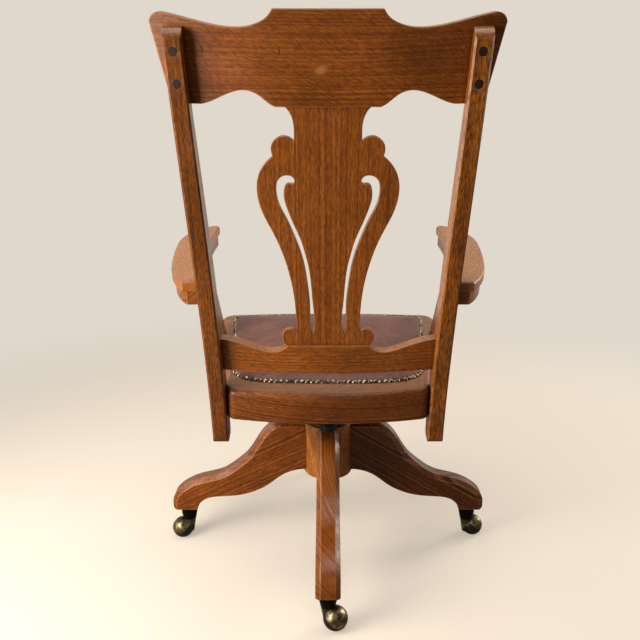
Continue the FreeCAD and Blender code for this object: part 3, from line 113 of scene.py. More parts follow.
NOISE, MAPPING, RAMP, MIX = "ShaderNodeTexNoise", "ShaderNodeMapping", "ShaderNodeValToRGB", "ShaderNodeMix"
MATH, VECTORS, AXES = "ShaderNodeMath", "ShaderNodeVectorMath", "ShaderNodeSeparateXYZ"
# Late wood, body and early wood of each board, as stained.
OAK = {
    "pale": ("7C4616", "B8732E", "D6984E"),
    "honey": ("6A350A", "9A5A18", "C08030"),
    "golden": ("502606", "88490D", "B07026"),
    "amber": ("462004", "80420A", "B07226"),
    "umber": ("301604", "743E0C", "98581C"),
    "brown": ("3A1A03", "703808", "965616"),
    "russet": ("3A1604", "86460F", "B46E26"),
    "shaded_walnut": ("241003", "5E2E08", "8E5018"),
    "black": ("0C0502", "241006", "3C2210"),
}
# Turns that lay a board's grain along the chair's own directions.
SEAT_SLOPE = math.radians(6)
BACK_LEAN = math.radians(11)
ALONG_X = (0.0, math.radians(90), 0.0)
ALONG_Z = (0.0, 0.0, 0.0)
ALONG_SEAT = (math.radians(90) + SEAT_SLOPE, 0.0, 0.0)
ALONG_BACK = (BACK_LEAN, 0.0, 0.0)
ACROSS_BACK = (BACK_LEAN, math.radians(90), 0.0)
# Sizes in mm, twice across the grain and once along it. Real pores and rays are a quarter as
# wide as here, which would be lost at this distance.
SWAY = cells(100, 100, 294.1)
STROKES = cells(1.852, 1.852, 11.765)
CLOUDS = cells(83.33, 83.33, 166.7)
PORES = cells(1.4286, 1.4286, 14.286)
# Reach of the ambient occlusion that paints shade into corners.
CORNER_SHADE_DEPTH = 0.014
VARNISH_IOR = 1.48


def board_axes(tree, place, turn, ends):
    """Coordinates with Z along the grain. Past two depths, the ends, it runs across the seat."""
    board = add(tree, MAPPING, place, Rotation=turn)
    if not ends:
        return board
    front, rear = ends
    depth = add(tree, AXES, place).outputs[1]
    past = add(tree, MATH, add(tree, MATH, depth, rear, operation="GREATER_THAN"),
               add(tree, MATH, depth, front, operation="LESS_THAN"), operation="ADD")
    return add(tree, MIX, past, board, add(tree, MAPPING, place, Rotation=ALONG_X), data_type="VECTOR")


def growth(tree, bent, ring, heart, taper):
    """Noise over the distance from the tree's heart, which gives each year's ring its tone."""
    offset = add(tree, VECTORS, bent, (1.0, 1.0, 0.0), (*heart, 0.0), operation="MULTIPLY_ADD")
    radius = add(tree, VECTORS, offset, operation="LENGTH")
    coned = add(tree, MATH, add(tree, AXES, bent).outputs[2], taper, radius, operation="MULTIPLY_ADD")
    year = add(tree, MATH, coned, cells(ring), operation="MULTIPLY")
    return add(tree, NOISE, year, noise_dimensions="1D", Scale=1.0, Detail=3.0, Roughness=0.6)


def marked(tree, colour, place, stroke, mark):
    """Colour with one ragged mark, given by its place, width, height, tilt and colour."""
    x, z, width, height, tilt, code = mark
    near = add(tree, MAPPING, place, (x, 0.0, z), (0.0, math.radians(tilt), 0.0), (width, 9.0, height),
               vector_type="TEXTURE")
    reach = add(tree, VECTORS, near, operation="LENGTH")
    ragged = add(tree, MATH, stroke, 0.7, reach, operation="MULTIPLY_ADD")
    strength = add(tree, RAMP, ragged, stops=[(0.50, 0.75), (0.75, 0.0)])
    return add(tree, MIX, strength, colour, srgb(code), data_type="RGBA")


def oak(name, turn, tone, ring=3.0, heart=(0.25, 0.06), taper=0.0, wave=8.0, figure=0.45, strokes=0.8,
        slant=0.0, pores=0.5, patchy=1.0, rough=0.34, bleach_and_sheen=0.25, arris=0.0022, worn_and_lit=0.8, rub_and_highlight="C8905A",
        ends=None, marks=()):
    """Varnished oak. Ring spacing and wave are in mm, slant is in degrees, and heart is where the
    tree's centre lies beside the board, in metres. Figure, strokes, pores, patchy, bleach_and_sheen
    and worn_and_lit are strengths, and arris is the width of a paler edge. The paler tops are partly
    painted sheen, and the paler edges partly painted highlight."""
    late, body, early = (srgb(code) for code in OAK[tone])
    material, tree, shader, place = new_material("oak, stained and varnished, " + name)
    board = board_axes(tree, place, turn, ends)
    sway = add(tree, NOISE, add(tree, MAPPING, board, Scale=SWAY), Scale=1.0, Detail=2.0, Roughness=0.55)
    bent = add(tree, VECTORS, sway.outputs["Color"], (wave / 1000,) * 3, board, operation="MULTIPLY_ADD")
    bands = growth(tree, bent, ring, heart, taper)
    rings = add(tree, RAMP, bands, stops=[(0.34, late), (0.47, body), (0.66, early)])
    colour = add(tree, MIX, figure, body, rings, data_type="RGBA")

    # Strokes of ray and fibre, pale and dark by turns, over slow clouds of stain.
    slanted = add(tree, MAPPING, bent, Rotation=(0.0, math.radians(slant), 0.0))
    fibre = add(tree, MAPPING, slanted, Scale=STROKES)
    stroke = add(tree, NOISE, fibre, Scale=1.0, Detail=2.0, Roughness=0.7)
    streak = add(tree, RAMP, stroke, stops=[(0.32, 0.40), (0.5, 1.0), (0.68, 1.65)])
    colour = add(tree, MIX, strokes, colour, streak, data_type="RGBA", blend_type="MULTIPLY")
    clouds = add(tree, NOISE, add(tree, MAPPING, board, Scale=CLOUDS), Scale=1.0, Detail=5.0, Roughness=0.6)
    shade = add(tree, RAMP, clouds, stops=[(0.30, 0.68), (0.70, 1.32)])
    colour = add(tree, MIX, patchy, colour, shade, data_type="RGBA", blend_type="MULTIPLY")

    # Pores crowd into the early wood of each ring.
    holes = add(tree, NOISE, add(tree, MAPPING, bent, Scale=PORES), Scale=1.0, Detail=1.0, Roughness=0.5)
    early_wood = add(tree, MATH, 0.5, bands, operation="SUBTRACT")
    crowd = add(tree, MATH, early_wood, 0.35, holes, operation="MULTIPLY_ADD")
    hollow = add(tree, RAMP, crowd, stops=[(0.56, 0.0), (0.68, 1.0)])
    filled = add(tree, MATH, hollow, pores, operation="MULTIPLY")
    colour = add(tree, MIX, filled, colour, darker(late, 0.5), data_type="RGBA")
    for mark in marks:
        colour = marked(tree, colour, place, stroke, mark)

    # Tops are paler, partly bleached by light and dust and partly painted sheen. Arrises are
    # paler, partly rubbed and partly painted highlight, and corners get painted shade.
    facing = add(tree, AXES, tree.nodes["Texture Coordinate"].outputs["Normal"]).outputs[2]
    top = add(tree, RAMP, facing, stops=[(0.80, 0.0), (0.97, bleach_and_sheen)])
    dust_and_sheen = add(tree, MIX, 0.7, srgb("B48660"), streak, data_type="RGBA", blend_type="MULTIPLY")
    colour = add(tree, MIX, top, colour, dust_and_sheen, data_type="RGBA")
    # The arrises take the rub_and_highlight colour: partly wear, partly painted highlight.
    rounded = add(tree, "ShaderNodeBevel", arris, samples=4)
    flat = add(tree, "ShaderNodeNewGeometry").outputs["Normal"]
    level = add(tree, VECTORS, rounded, flat, operation="DOT_PRODUCT")
    bend = add(tree, MATH, 1.0, level, operation="SUBTRACT")
    edge = add(tree, RAMP, bend, stops=[(0.006, 0.0), (0.06, worn_and_lit)])
    colour = add(tree, MIX, edge, colour, srgb(rub_and_highlight), data_type="RGBA")
    # Ambient occlusion darkens corners and joints: painted shade.
    occlusion = add(tree, "ShaderNodeAmbientOcclusion", samples=4, Distance=CORNER_SHADE_DEPTH).outputs["AO"]
    painted_corner_shade = add(tree, RAMP, occlusion, stops=[(0.15, 0.25), (0.7, 1.0)])
    colour = add(tree, MIX, 1.0, colour, painted_corner_shade, data_type="RGBA", blend_type="MULTIPLY")
    feed(tree, colour, shader.inputs["Base Color"])

    sheen = add(tree, RAMP, clouds, stops=[(0.3, rough - 0.05), (0.7, rough + 0.10)])
    dull = add(tree, MATH, hollow, add(tree, MATH, top, 1.2, operation="MULTIPLY"), operation="MAXIMUM")
    gloss = add(tree, MIX, dull, sheen, [0.55, 0.55, 0.55, 1.0], data_type="RGBA")
    feed(tree, gloss, shader.inputs["Roughness"])
    shader.inputs["IOR"].default_value = VARNISH_IOR
    solid = add(tree, MATH, 1.0, hollow, operation="SUBTRACT")
    relief = add(tree, MIX, 0.6, stroke, solid, data_type="RGBA")
    bump = add(tree, "ShaderNodeBump", Strength=0.25, Distance=0.0006, Height=relief, Normal=rounded)
    feed(tree, bump, shader.inputs["Normal"])
    return material


def finish_nodes(material, *names):
    """Give CAD nodes their material."""
    for name in names:
        mesh = nodes[name].data
        mesh.materials.clear()
        mesh.materials.append(material)


# Stand: four sawn legs with their grain running down the leg in long flames, dowelled to
# a turned hub. The right leg, on the side away from the window, has the darkest tone, which is
# painted shade, and the boldest figure.

DOWN = math.radians(62)
UP = math.radians(118)
# The right leg's shaded_walnut tone is painted shade.
LEGS = (("left", (0.0, DOWN, 0.0), "russet", 0.4), ("right", (0.0, UP, 0.0), "shaded_walnut", 0.85),
        ("front", (UP, 0.0, 0.0), "brown", 0.7), ("rear", (DOWN, 0.0, 0.0), "russet", 0.35))
for spot, turn, tone, figure in LEGS:
    leg_oak = oak(spot + " leg", turn, tone, ring=5.5, heart=(0.19, 0.17), taper=0.04, wave=12.0,
                  figure=figure, strokes=0.7, pores=0.6, rough=0.26, bleach_and_sheen=0.0, arris=0.0032, rub_and_highlight="D09058")
    finish_nodes(leg_oak, "leg_" + spot)
turned_oak = oak("hub", ALONG_Z, "pale", ring=4.0, heart=(0.02, 0.03), taper=0.04, bleach_and_sheen=0.0)
finish_nodes(turned_oak, "hub", "leg_dowels")


# Column and tilt: iron sand-cast and black japanned, with a faint orange-peel and rubbed
# high spots, and pins and screws of oiled steel.

black_iron, tree, shader, place = new_material("cast iron, black japanned")
grit = add(tree, NOISE, place, Scale=cells(1.4286), Detail=3.0, Roughness=0.6)
rubbed = add(tree, NOISE, place, Scale=cells(16.667), Detail=4.0, Roughness=0.6)
japan = add(tree, RAMP, rubbed, stops=[(0.35, srgb("161412")), (0.75, srgb("2C2824"))])
feed(tree, japan, shader.inputs["Base Color"])
shader.inputs["Metallic"].default_value = 0.35
shader.inputs["Roughness"].default_value = 0.42
bump = add(tree, "ShaderNodeBump", Strength=0.25, Distance=0.0004, Height=grit)
feed(tree, bump, shader.inputs["Normal"])


def steel(name, code, rough):
    """Steel with a haze of old oil."""
    material, tree, shader, place = new_material("steel, oiled, " + name)
    haze = add(tree, NOISE, place, Scale=cells(4.5455), Detail=3.0)
    oiled = add(tree, MIX, haze, srgb(code), srgb("5A554C"), data_type="RGBA")
    feed(tree, oiled, shader.inputs["Base Color"])
    shader.inputs["Metallic"].default_value = 1.0
    shader.inputs["Roughness"].default_value = rough
    return material


bright_steel = steel("spindle, spring and pins", "8C8880", 0.34)
finish_nodes(black_iron, "hub_cap", "height_nut", "tilt_yoke", "seat_iron", "tension_knob", "spring_cup",
             "spring_cap")
finish_nodes(bright_steel, "spindle_collar", "tilt_pin")
finish_nodes(steel("wood screws", "6E6A62", 0.45), "cap_screws", "seat_iron_screws", "frame_screws")


# Spindle: a square-crested thread of 6 mm pitch cut along its lower length, with the
# plain journal above.

PITCH = 0.006
CREST_RADIUS = 0.0139
JOURNAL_RADIUS = ROOT_RADIUS = 0.0118
JOURNAL_LENGTH = 0.0313
CHAMFER = 0.002
AROUND = 32
RINGS = 190
RUN_IN, RUN_OUT = 8, 3


def new_piece(name, mesh, material=None, body=None):
    """Object of a mesh, which rides on a CAD body when one is given."""
    if material:
        mesh.materials.append(material)
    piece = bpy.data.objects.new(name, mesh)
    bpy.context.scene.collection.objects.link(piece)
    if body:
        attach(piece, body)
    return piece


def skinned(shell, rows):
    """Walls between rows of points that go round."""
    for lower, upper in zip(rows, rows[1:]):
        for n in range(len(lower)):
            after = (n + 1) % len(lower)
            shell.faces.new((lower[n], lower[after], upper[after], upper[n]))


def finished_mesh(name, shell):
    """Mesh of a bmesh, which is freed."""
    mesh = bpy.data.meshes.new(name)
    shell.to_mesh(mesh)
    shell.free()
    return mesh


def threaded_rod():
    """Spindle with its thread, which runs in and out at its ends."""
    low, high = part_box("spindle")
    bottom, shoulder, end = low[2], high[2] - JOURNAL_LENGTH, high[2]
    rod = bmesh.new()
    rows = []

    def ring(z, radii):
        rows.append([rod.verts.new((radius * math.cos(2 * math.pi * step / AROUND),
                                    radius * math.sin(2 * math.pi * step / AROUND), z))
                     for step, radius in enumerate(radii)])

    for n in range(RINGS + 1):
        z = bottom + (shoulder - bottom) * n / RINGS
        fade = min(n / RUN_IN, (RINGS - n) / RUN_OUT, 1.0)
        phases = [((z - bottom) / PITCH - step / AROUND) % 1.0 for step in range(AROUND)]
        crests = [min(max(2.2 - abs(phase - 0.5) * 8.0, 0.0), 1.0) for phase in phases]
        ring(z, [ROOT_RADIUS + (CREST_RADIUS - ROOT_RADIUS) * crest * fade for crest in crests])
    for z, radius in ((shoulder, JOURNAL_RADIUS), (end - CHAMFER, JOURNAL_RADIUS),
                      (end, JOURNAL_RADIUS - CHAMFER)):
        ring(z, [radius] * AROUND)
    skinned(rod, rows)
    rod.faces.new(list(reversed(rows[0])))
    rod.faces.new(rows[-1])
    mesh = finished_mesh("spindle thread", rod)
    for face in mesh.polygons:
        face.use_smooth = len(face.vertices) == 4
    return mesh


thread = new_piece("spindle_thread", threaded_rod(), bright_steel, "spindle")
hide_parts("spindle")


# Tilt spring: oil-tempered wire between the cup on the yoke and the cap under the seat. It is
# drawn in two lengths that meet on one plane.

coil_low, coil_high = (corner[2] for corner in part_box("tilt_spring"))
COIL_SPLIT = coil_low + 0.38 * (coil_high - coil_low)


def coil_length(name, above):
    """The coil above or below the plane where its two lengths meet."""
    wire = bmesh.new()
    wire.from_mesh(nodes["tilt_spring"].data)
    bmesh.ops.remove_doubles(wire, verts=wire.verts[:], dist=1e-6)
    bmesh.ops.bisect_plane(wire, geom=wire.verts[:] + wire.edges[:] + wire.faces[:],
                           plane_co=(0.0, 0.0, COIL_SPLIT), plane_no=(0.0, 0.0, 1.0),
                           clear_inner=above, clear_outer=not above)
    bmesh.ops.holes_fill(wire, edges=wire.edges[:])
    piece = new_piece(name, finished_mesh(name, wire), bright_steel)
    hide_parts("tilt_spring")
    return piece


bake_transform(coil_length("tilt_spring_lower", False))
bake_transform(coil_length("tilt_spring_upper", True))


# Casters: a brass hood rubbed bright on its crown and dark in its hollows, darkened low down
# by grime and painted shade, over a moulded black wheel; the iron neck above is blackened.

aged_brass, tree, shader, place = new_material("brass, aged")
stain = add(tree, NOISE, place, Scale=cells(12.5), Detail=5.0, Roughness=0.65)
brass = add(tree, RAMP, stain, stops=[(0.34, srgb("2A251B")), (0.48, srgb("6E6449")), (0.68, srgb("B8AB88"))])
# The hood is dark below 14 mm, grime with painted shade, and dark above 49 mm like the neck,
# with a ragged edge. The ramp reads tenths of a metre.
height = add(tree, MATH, stain, 0.006, add(tree, AXES, place).outputs[2], operation="MULTIPLY_ADD")
tenths = add(tree, MATH, height, 10.0, operation="MULTIPLY")
grime_and_painted_shade = add(tree, RAMP, tenths, stops=[(0.14, 1.0), (0.19, 0.0), (0.46, 0.0), (0.49, 1.0)])
feed(tree, add(tree, MIX, grime_and_painted_shade, brass, srgb("191613"), data_type="RGBA"), shader.inputs["Base Color"])
feed(tree, add(tree, RAMP, stain, stops=[(0.3, 0.55), (0.7, 0.34)]), shader.inputs["Roughness"])
shader.inputs["Metallic"].default_value = 0.9

wheel_black, tree, shader, place = new_material("hard rubber composition, moulded")
scuff = add(tree, NOISE, place, Scale=cells(6.6667), Detail=4.0)
scuffed = add(tree, RAMP, scuff, stops=[(0.35, srgb("0F0E0D")), (0.8, srgb("262422"))])
feed(tree, scuffed, shader.inputs["Base Color"])
shader.inputs["Roughness"].default_value = 0.36

for spot in ("rear", "left", "front", "right"):
    finish_nodes(aged_brass, "caster_hood_" + spot)
    finish_nodes(black_iron, "caster_socket_" + spot)
    finish_nodes(wheel_black, "caster_wheel_" + spot)
    finish_nodes(bright_steel, "caster_axle_" + spot)


# Seat frame: four rails, each with its grain along it, and a board on two bearers under the
# pad. Their tops are paler, partly bleached by light and partly painted sheen.

# Depths at which the side rails' ends turn into the rails that cross them.
MITRES = (-0.184, 0.122)
for name, turn, ends in (("cross rails", ALONG_X, None), ("side rails", ALONG_SEAT, MITRES)):
    rail_oak = oak(name, turn, "brown", ring=4.2, heart=(0.16, 0.12), taper=0.05, wave=16.0, figure=0.6,
                   rough=0.3, bleach_and_sheen=0.38, arris=0.0002, worn_and_lit=0.0, ends=ends)
    if ends:
        finish_nodes(rail_oak, "seat_left_rail", "seat_right_rail")
    else:
        finish_nodes(rail_oak, "seat_back_rail", "seat_front_rail")
under_oak = oak("seat board and bearers", ALONG_SEAT, "golden", ring=4.0, heart=(0.12, 0.05), taper=0.06)
finish_nodes(under_oak, "seat_board", "left_seat_bearer", "right_seat_bearer")


# Arms: paddle boards on a rail and a sawn stump each; the boards' and rails' tops are paler,
# partly bleached and partly painted sheen.

arm_board_oak = oak("arm boards", ALONG_SEAT, "honey", heart=(0.2, 0.09), figure=0.2, strokes=0.6, rough=0.3,
                    bleach_and_sheen=0.65)
arm_rail_oak = oak("arm rails", ALONG_SEAT, "golden", heart=(0.16, 0.05), bleach_and_sheen=0.6)
stump_oak = oak("arm stumps", ALONG_Z, "golden", heart=(0.16, 0.12), taper=0.05)
for side in ("left", "right"):
    finish_nodes(arm_board_oak, side + "_arm_board")
    finish_nodes(arm_rail_oak, side + "_arm_rail")
    finish_nodes(stump_oak, side + "_arm_stump")


# Back: two posts, the crest, the lower rail and the splat, with dark plugs over the posts'
# screws. The crest's rays slant across its figure.

for side, tone in (("left", "umber"), ("right", "honey")):
    post_oak = oak(side + " post", ALONG_BACK, tone, ring=4.0, heart=(0.2, 0.12), pores=0.9, wave=5.0,
                   figure=0.3, strokes=1.0, rough=0.26, arris=0.0011)
    finish_nodes(post_oak, side + "_back_post")

# Wear: a rubbed patch and two knocks on the crest, and a scratch across the splat, each with
# its place, width, height, tilt and colour.
CREST_MARKS = ((0.0108, 0.982, 0.030, 0.020, 20.0, "B87E48"), (0.1946, 1.012, 0.008, 0.020, 15.0, "1C0C03"),
               (0.0751, 1.008, 0.008, 0.014, -10.0, "241006"))
SPLAT_MARKS = ((0.0088, 0.658, 0.040, 0.0035, 0.0, "3A1A06"),)
crest_oak = oak("crest rail", ACROSS_BACK, "amber", ring=4.0, heart=(0.3, 0.05), wave=14.0, figure=0.3,
                strokes=0.75, slant=26.0, pores=0.4, arris=0.0034, marks=CREST_MARKS)
finish_nodes(crest_oak, "crest_rail")
# Its top is paler, partly bleached and partly painted sheen.
lower_oak = oak("lower back rail", ACROSS_BACK, "golden", figure=0.35, rough=0.3, bleach_and_sheen=0.45, patchy=0.7)
finish_nodes(lower_oak, "lower_back_rail")
splat_oak = oak("splat", ALONG_BACK, "golden", ring=6.0, heart=(0.4, 0.05), wave=6.0, figure=0.3,
                strokes=0.75, pores=0.45, patchy=0.5, marks=SPLAT_MARKS)
finish_nodes(splat_oak, "splat")
plug_oak = oak("plugs", ALONG_BACK, "black", heart=(0.02, 0.05), pores=0.6, rough=0.45, arris=0.0016,
               rub_and_highlight="120702")
finish_nodes(plug_oak, "screw_plugs")


# Seat pad: leather drawn over hair stuffing. A cloth simulation under slight pressure
# swells it between the edges that are nailed down.

# The seat's own plane, which slopes down to the rear about the pivot's height.
PIVOT_HEIGHT = 0.352
SEAT_TOP = 0.432
SEAT = (Matrix.Translation((0.0, 0.0, PIVOT_HEIGHT)) @ Matrix.Rotation(-SEAT_SLOPE, 4, "X")
        @ Matrix.Translation((0.0, 0.0, -PIVOT_HEIGHT)))
# Line of the nails in that plane, right half, from the rear middle to the front.
NAIL_LINE = [(0.0, 0.1340), (0.05, 0.1335), (0.095, 0.1322), (0.144, 0.1250), (0.172, 0.1085),
             (0.187, 0.0865), (0.1925, 0.060), (0.200, -0.020), (0.2085, -0.106), (0.2160, -0.170),
             (0.2190, -0.200), (0.2160, -0.2150), (0.2030, -0.2220), (0.180, -0.2235), (0.09, -0.2250),
             (0.0, -0.2255)]
CURVE_STEPS = 24
EDGE_SPACING = 0.006
BORDER = 0.0022
BORDER_HEIGHTS = (-0.008, 0.0, 0.0024)
# The stuffing's roll and crown: how high each rises, in mm, and over what distance inward.
ROLL, CROWN = (7.0, 0.010), (12.0, 0.080)
ROLL_START = 0.0030
INSETS = (0.002, 0.005, 0.008, 0.012, 0.017, 0.023, 0.031, 0.042, 0.056, 0.074, 0.096, 0.122, 0.150, 0.172)
MIDDLE = Vector((0.0, -0.050, 0.0))
HALF_WIDTH = 0.184
VOXEL = 0.0045
HELD_BELOW = 0.0062
CLOTH_FRAMES = 20
FURTHEST_SWELL = 0.006
# Dents in the leather's top, each kind with its cells per metre, its seed and its depth, and
# the pucker round each nail.
DENTS = ((22, 3.0, 0.0010), (75, 9.0, 0.0004))
DENTS_START, DENTS_FULL = 0.003, 0.015
PUCKER_DEPTH, PUCKER_REACH, PUCKER_SPACING = 0.0010, 0.004, 0.0100


def seat_leather():
    """Waxed hide with a slow patina, a pebbled grain and fine cracks."""
    material, tree, shader, place = new_material("leather, vegetable tanned, waxed and rubbed")
    patina = add(tree, NOISE, place, Scale=cells(76.92), Detail=6.0, Roughness=0.65)
    spots = add(tree, NOISE, place, Scale=cells(16.667), Detail=4.0, Roughness=0.6)
    hide = add(tree, RAMP, patina,
               stops=[(0.32, srgb("4C2A24")), (0.5, srgb("6E4036")), (0.68, srgb("8A5A4A"))])
    freckled = add(tree, RAMP, spots, stops=[(0.3, 0.7), (0.7, 1.15)])
    colour = add(tree, MIX, 0.6, hide, freckled, data_type="RGBA", blend_type="MULTIPLY")
    pebble = add(tree, "ShaderNodeTexVoronoi", place, Scale=cells(1.6129))
    creases = add(tree, "ShaderNodeTexVoronoi", place, feature="DISTANCE_TO_EDGE", Scale=cells(18.182))
    whole = add(tree, RAMP, creases, stops=[(0.0, 0.0), (0.05, 1.0)])
    broken = add(tree, MATH, 1.0, whole, operation="SUBTRACT")
    cracked = add(tree, MATH, broken, 0.22, operation="MULTIPLY")
    feed(tree, add(tree, MIX, cracked, colour, srgb("3A1E1A"), data_type="RGBA"), shader.inputs["Base Color"])
    feed(tree, add(tree, RAMP, patina, stops=[(0.3, 0.42), (0.7, 0.56)]), shader.inputs["Roughness"])
    relief = add(tree, MIX, 0.35, pebble, whole, data_type="RGBA")
    bump = add(tree, "ShaderNodeBump", Strength=0.35, Distance=0.0005, Height=relief)
    feed(tree, bump, shader.inputs["Normal"])
    return material


def closed_curve(points, spacing):
    """Even points on a smooth closed line, through a right half and its mirror image."""
    loop = [Vector((x, y, 0.0)) for x, y in points]
    loop += [Vector((-p.x, p.y, 0.0)) for p in loop[-2:0:-1]]
    dense = []
    for n in range(len(loop)):
        p0, p1, p2, p3 = (loop[(n + k) % len(loop)] for k in (-1, 0, 1, 2))
        for step in range(CURVE_STEPS):
            t = step / CURVE_STEPS
            dense.append(0.5 * (2 * p1 + (p2 - p0) * t + (2 * p0 - 5 * p1 + 4 * p2 - p3) * t * t
                                + (3 * p1 - p0 - 3 * p2 + p3) * t ** 3))
    lengths = [0.0]
    for start, end in zip(dense, dense[1:] + dense[:1]):
        lengths.append(lengths[-1] + (end - start).length)
    count = round(lengths[-1] / spacing)
    even, n = [], 0
    for k in range(count):
        target = lengths[-1] * k / count
        while lengths[n + 1] < target:
            n += 1
        share = (target - lengths[n]) / (lengths[n + 1] - lengths[n])
        even.append(dense[n].lerp(dense[(n + 1) % len(dense)], share))
    return even


def cushion_shell():
    """Closed shell: a border nailed down, a rolled edge and a slow crown."""
    edge = closed_curve(NAIL_LINE, EDGE_SPACING)
    shell = bmesh.new()
    rows = []

    def ring(inset, level, roll=0.0, crown=0.0, grow=0.0):
        row = []
        for n, point in enumerate(edge):
            side = (edge[(n + 1) % len(edge)] - edge[n - 1]).normalized()
            outward = Vector((-side.y, side.x, 0.0))
            if outward.dot(point - MIDDLE) < 0:
                outward = -outward
            spot = MIDDLE + (point - MIDDLE) * (1 - inset / HALF_WIDTH) + outward * grow
            # The rear edge stands steeper than the front one, which is worn down.
            steepness = 1.0 + 0.35 * min(max((point.y + 0.05) / 0.18, -1.0), 1.0)
            row.append(shell.verts.new((spot.x, spot.y, level + roll * steepness + crown)))
        rows.append(row)

    for level in BORDER_HEIGHTS:
        ring(0.0, level, grow=BORDER)
    for inset in INSETS:
        roll, crown = ((1 - math.exp(-inset / reach)) * rise / 1000 for rise, reach in (ROLL, CROWN))
        ring(inset, ROLL_START, roll, crown)
    skinned(shell, rows)
    shell.faces.new(rows[-1])
    shell.faces.new(list(reversed(rows[0])))
    bmesh.ops.recalc_face_normals(shell, faces=shell.faces)
    return finished_mesh("cushion shell", shell)


def applied(piece):
    """Mesh of a piece with its modifiers applied."""
    bpy.context.view_layer.update()
    return bpy.data.meshes.new_from_object(piece.evaluated_get(bpy.context.evaluated_depsgraph_get()))


def swell(pad):
    """Cloth over air pressure: the nailed border holds, and the rest fills out."""
    mesh = pad.data
    held = pad.vertex_groups.new(name="held")
    held.add([v.index for v in mesh.vertices if v.co.z < HELD_BELOW], 1.0, "REPLACE")
    start = [vertex.co.copy() for vertex in mesh.vertices]
    cloth = pad.modifiers.new("cloth", "CLOTH")
    cloth.settings.quality = 5
    cloth.settings.mass = 0.35
    cloth.settings.tension_stiffness = 24.0
    cloth.settings.compression_stiffness = 14.0
    cloth.settings.shear_stiffness = 10.0
    cloth.settings.bending_stiffness = 2.5
    cloth.settings.use_pressure = True
    cloth.settings.uniform_pressure_force = 4.0
    cloth.settings.vertex_group_mass = "held"
    cloth.settings.effector_weights.gravity = 0.0
    cloth.collision_settings.use_collision = False
    cloth.point_cache.frame_start, cloth.point_cache.frame_end = 1, CLOTH_FRAMES
    for step in range(1, CLOTH_FRAMES + 1):
        bpy.context.scene.frame_set(step)
    swollen = applied(pad)
    pad.modifiers.clear()
    bpy.context.scene.frame_set(1)
    for vertex, before in zip(swollen.vertices, start):
        move = vertex.co - before
        if move.length > FURTHEST_SWELL:
            vertex.co = before + move.normalized() * FURTHEST_SWELL
    pad.data = swollen


def drawn_down(spot, nails):
    """Place of a point of the leather, which puckers at the nails and has shallow dents on top."""
    nearest = min((Vector((spot.x, spot.y, 0.0)) - nail).length for nail in nails)
    if spot.z > DENTS_START:
        dents = sum(noise.noise(Vector((spot.x * count, spot.y * count, seed))) * depth
                    for count, seed, depth in DENTS)
        pucker = PUCKER_DEPTH * math.exp(-((nearest / PUCKER_REACH) ** 2))
        spot.z += dents * min(spot.z / DENTS_FULL, 1.0) - pucker
    return SEAT @ Vector((spot.x, spot.y, max(spot.z, 0.0) + SEAT_TOP))


def make_cushion():
    """Cushion remeshed from its shell, swollen, smoothed, drawn down and set on the seat."""
    pad = new_piece("seat_cushion", cushion_shell(), leather)
    remesh = pad.modifiers.new("remesh", "REMESH")
    remesh.mode = "VOXEL"
    remesh.voxel_size = VOXEL
    mesh = applied(pad)
    pad.modifiers.clear()
    pad.data = mesh
    swell(pad)
    finer = pad.modifiers.new("finer", "SUBSURF")
    finer.levels = finer.render_levels = 1
    mesh = applied(pad)
    pad.modifiers.clear()
    nails = closed_curve(NAIL_LINE, PUCKER_SPACING)
    for vertex in mesh.vertices:
        vertex.co = drawn_down(vertex.co.copy(), nails)
    welded = bmesh.new()
    welded.from_mesh(mesh)
    bmesh.ops.remove_doubles(welded, verts=welded.verts, dist=0.0003)
    bmesh.ops.dissolve_degenerate(welded, dist=0.0001, edges=welded.edges)
    bmesh.ops.recalc_face_normals(welded, faces=welded.faces)
    welded.to_mesh(mesh)
    welded.free()
    mesh.materials.clear()
    mesh.materials.append(leather)
    for face in mesh.polygons:
        face.use_smooth = True
    pad.data = mesh
    return pad


leather = seat_leather()
cushion = make_cushion()
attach(cushion, "seat")
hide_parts("seat_pad")


# Nails: domed brass heads set edge to edge along the pad's border, each a little askew.

NAIL_RADIUS = 0.0050
NAIL_RISE = 0.0034
NAIL_PITCH = 0.0102
NAIL_LEVEL = SEAT_TOP + 0.0018
NAIL_LEAN = 0.7
NAIL_SIDES = 12
LINE_SPACING = 0.004


def dome():
    """Nail head of a few dozen faces."""
    head = bmesh.new()
    rows = []
    for rise in (0.0, 0.36, 0.66, 0.88):
        ring, z = NAIL_RADIUS * math.cos(rise * math.pi / 2), NAIL_RISE * math.sin(rise * math.pi / 2)
        turns = [2 * math.pi * n / NAIL_SIDES for n in range(NAIL_SIDES)]
        rows.append([head.verts.new((ring * math.cos(turn), ring * math.sin(turn), z)) for turn in turns])
    skinned(head, rows)
    head.faces.new(rows[-1])
    head.faces.new(list(reversed(rows[0])))
    mesh = finished_mesh("nail head", head)
    for face in mesh.polygons:
        face.use_smooth = True
    return mesh


nail_brass, tree, shader, place = new_material("brass nail, darkened")
stain = add(tree, NOISE, place, Scale=cells(5), Detail=3.0)
brass = add(tree, RAMP, stain, stops=[(0.38, srgb("2E261C")), (0.52, srgb("8A7E68")), (0.68, srgb("CFC4AC"))])
feed(tree, brass, shader.inputs["Base Color"])
shader.inputs["Metallic"].default_value = 0.95
shader.inputs["Roughness"].default_value = 0.32


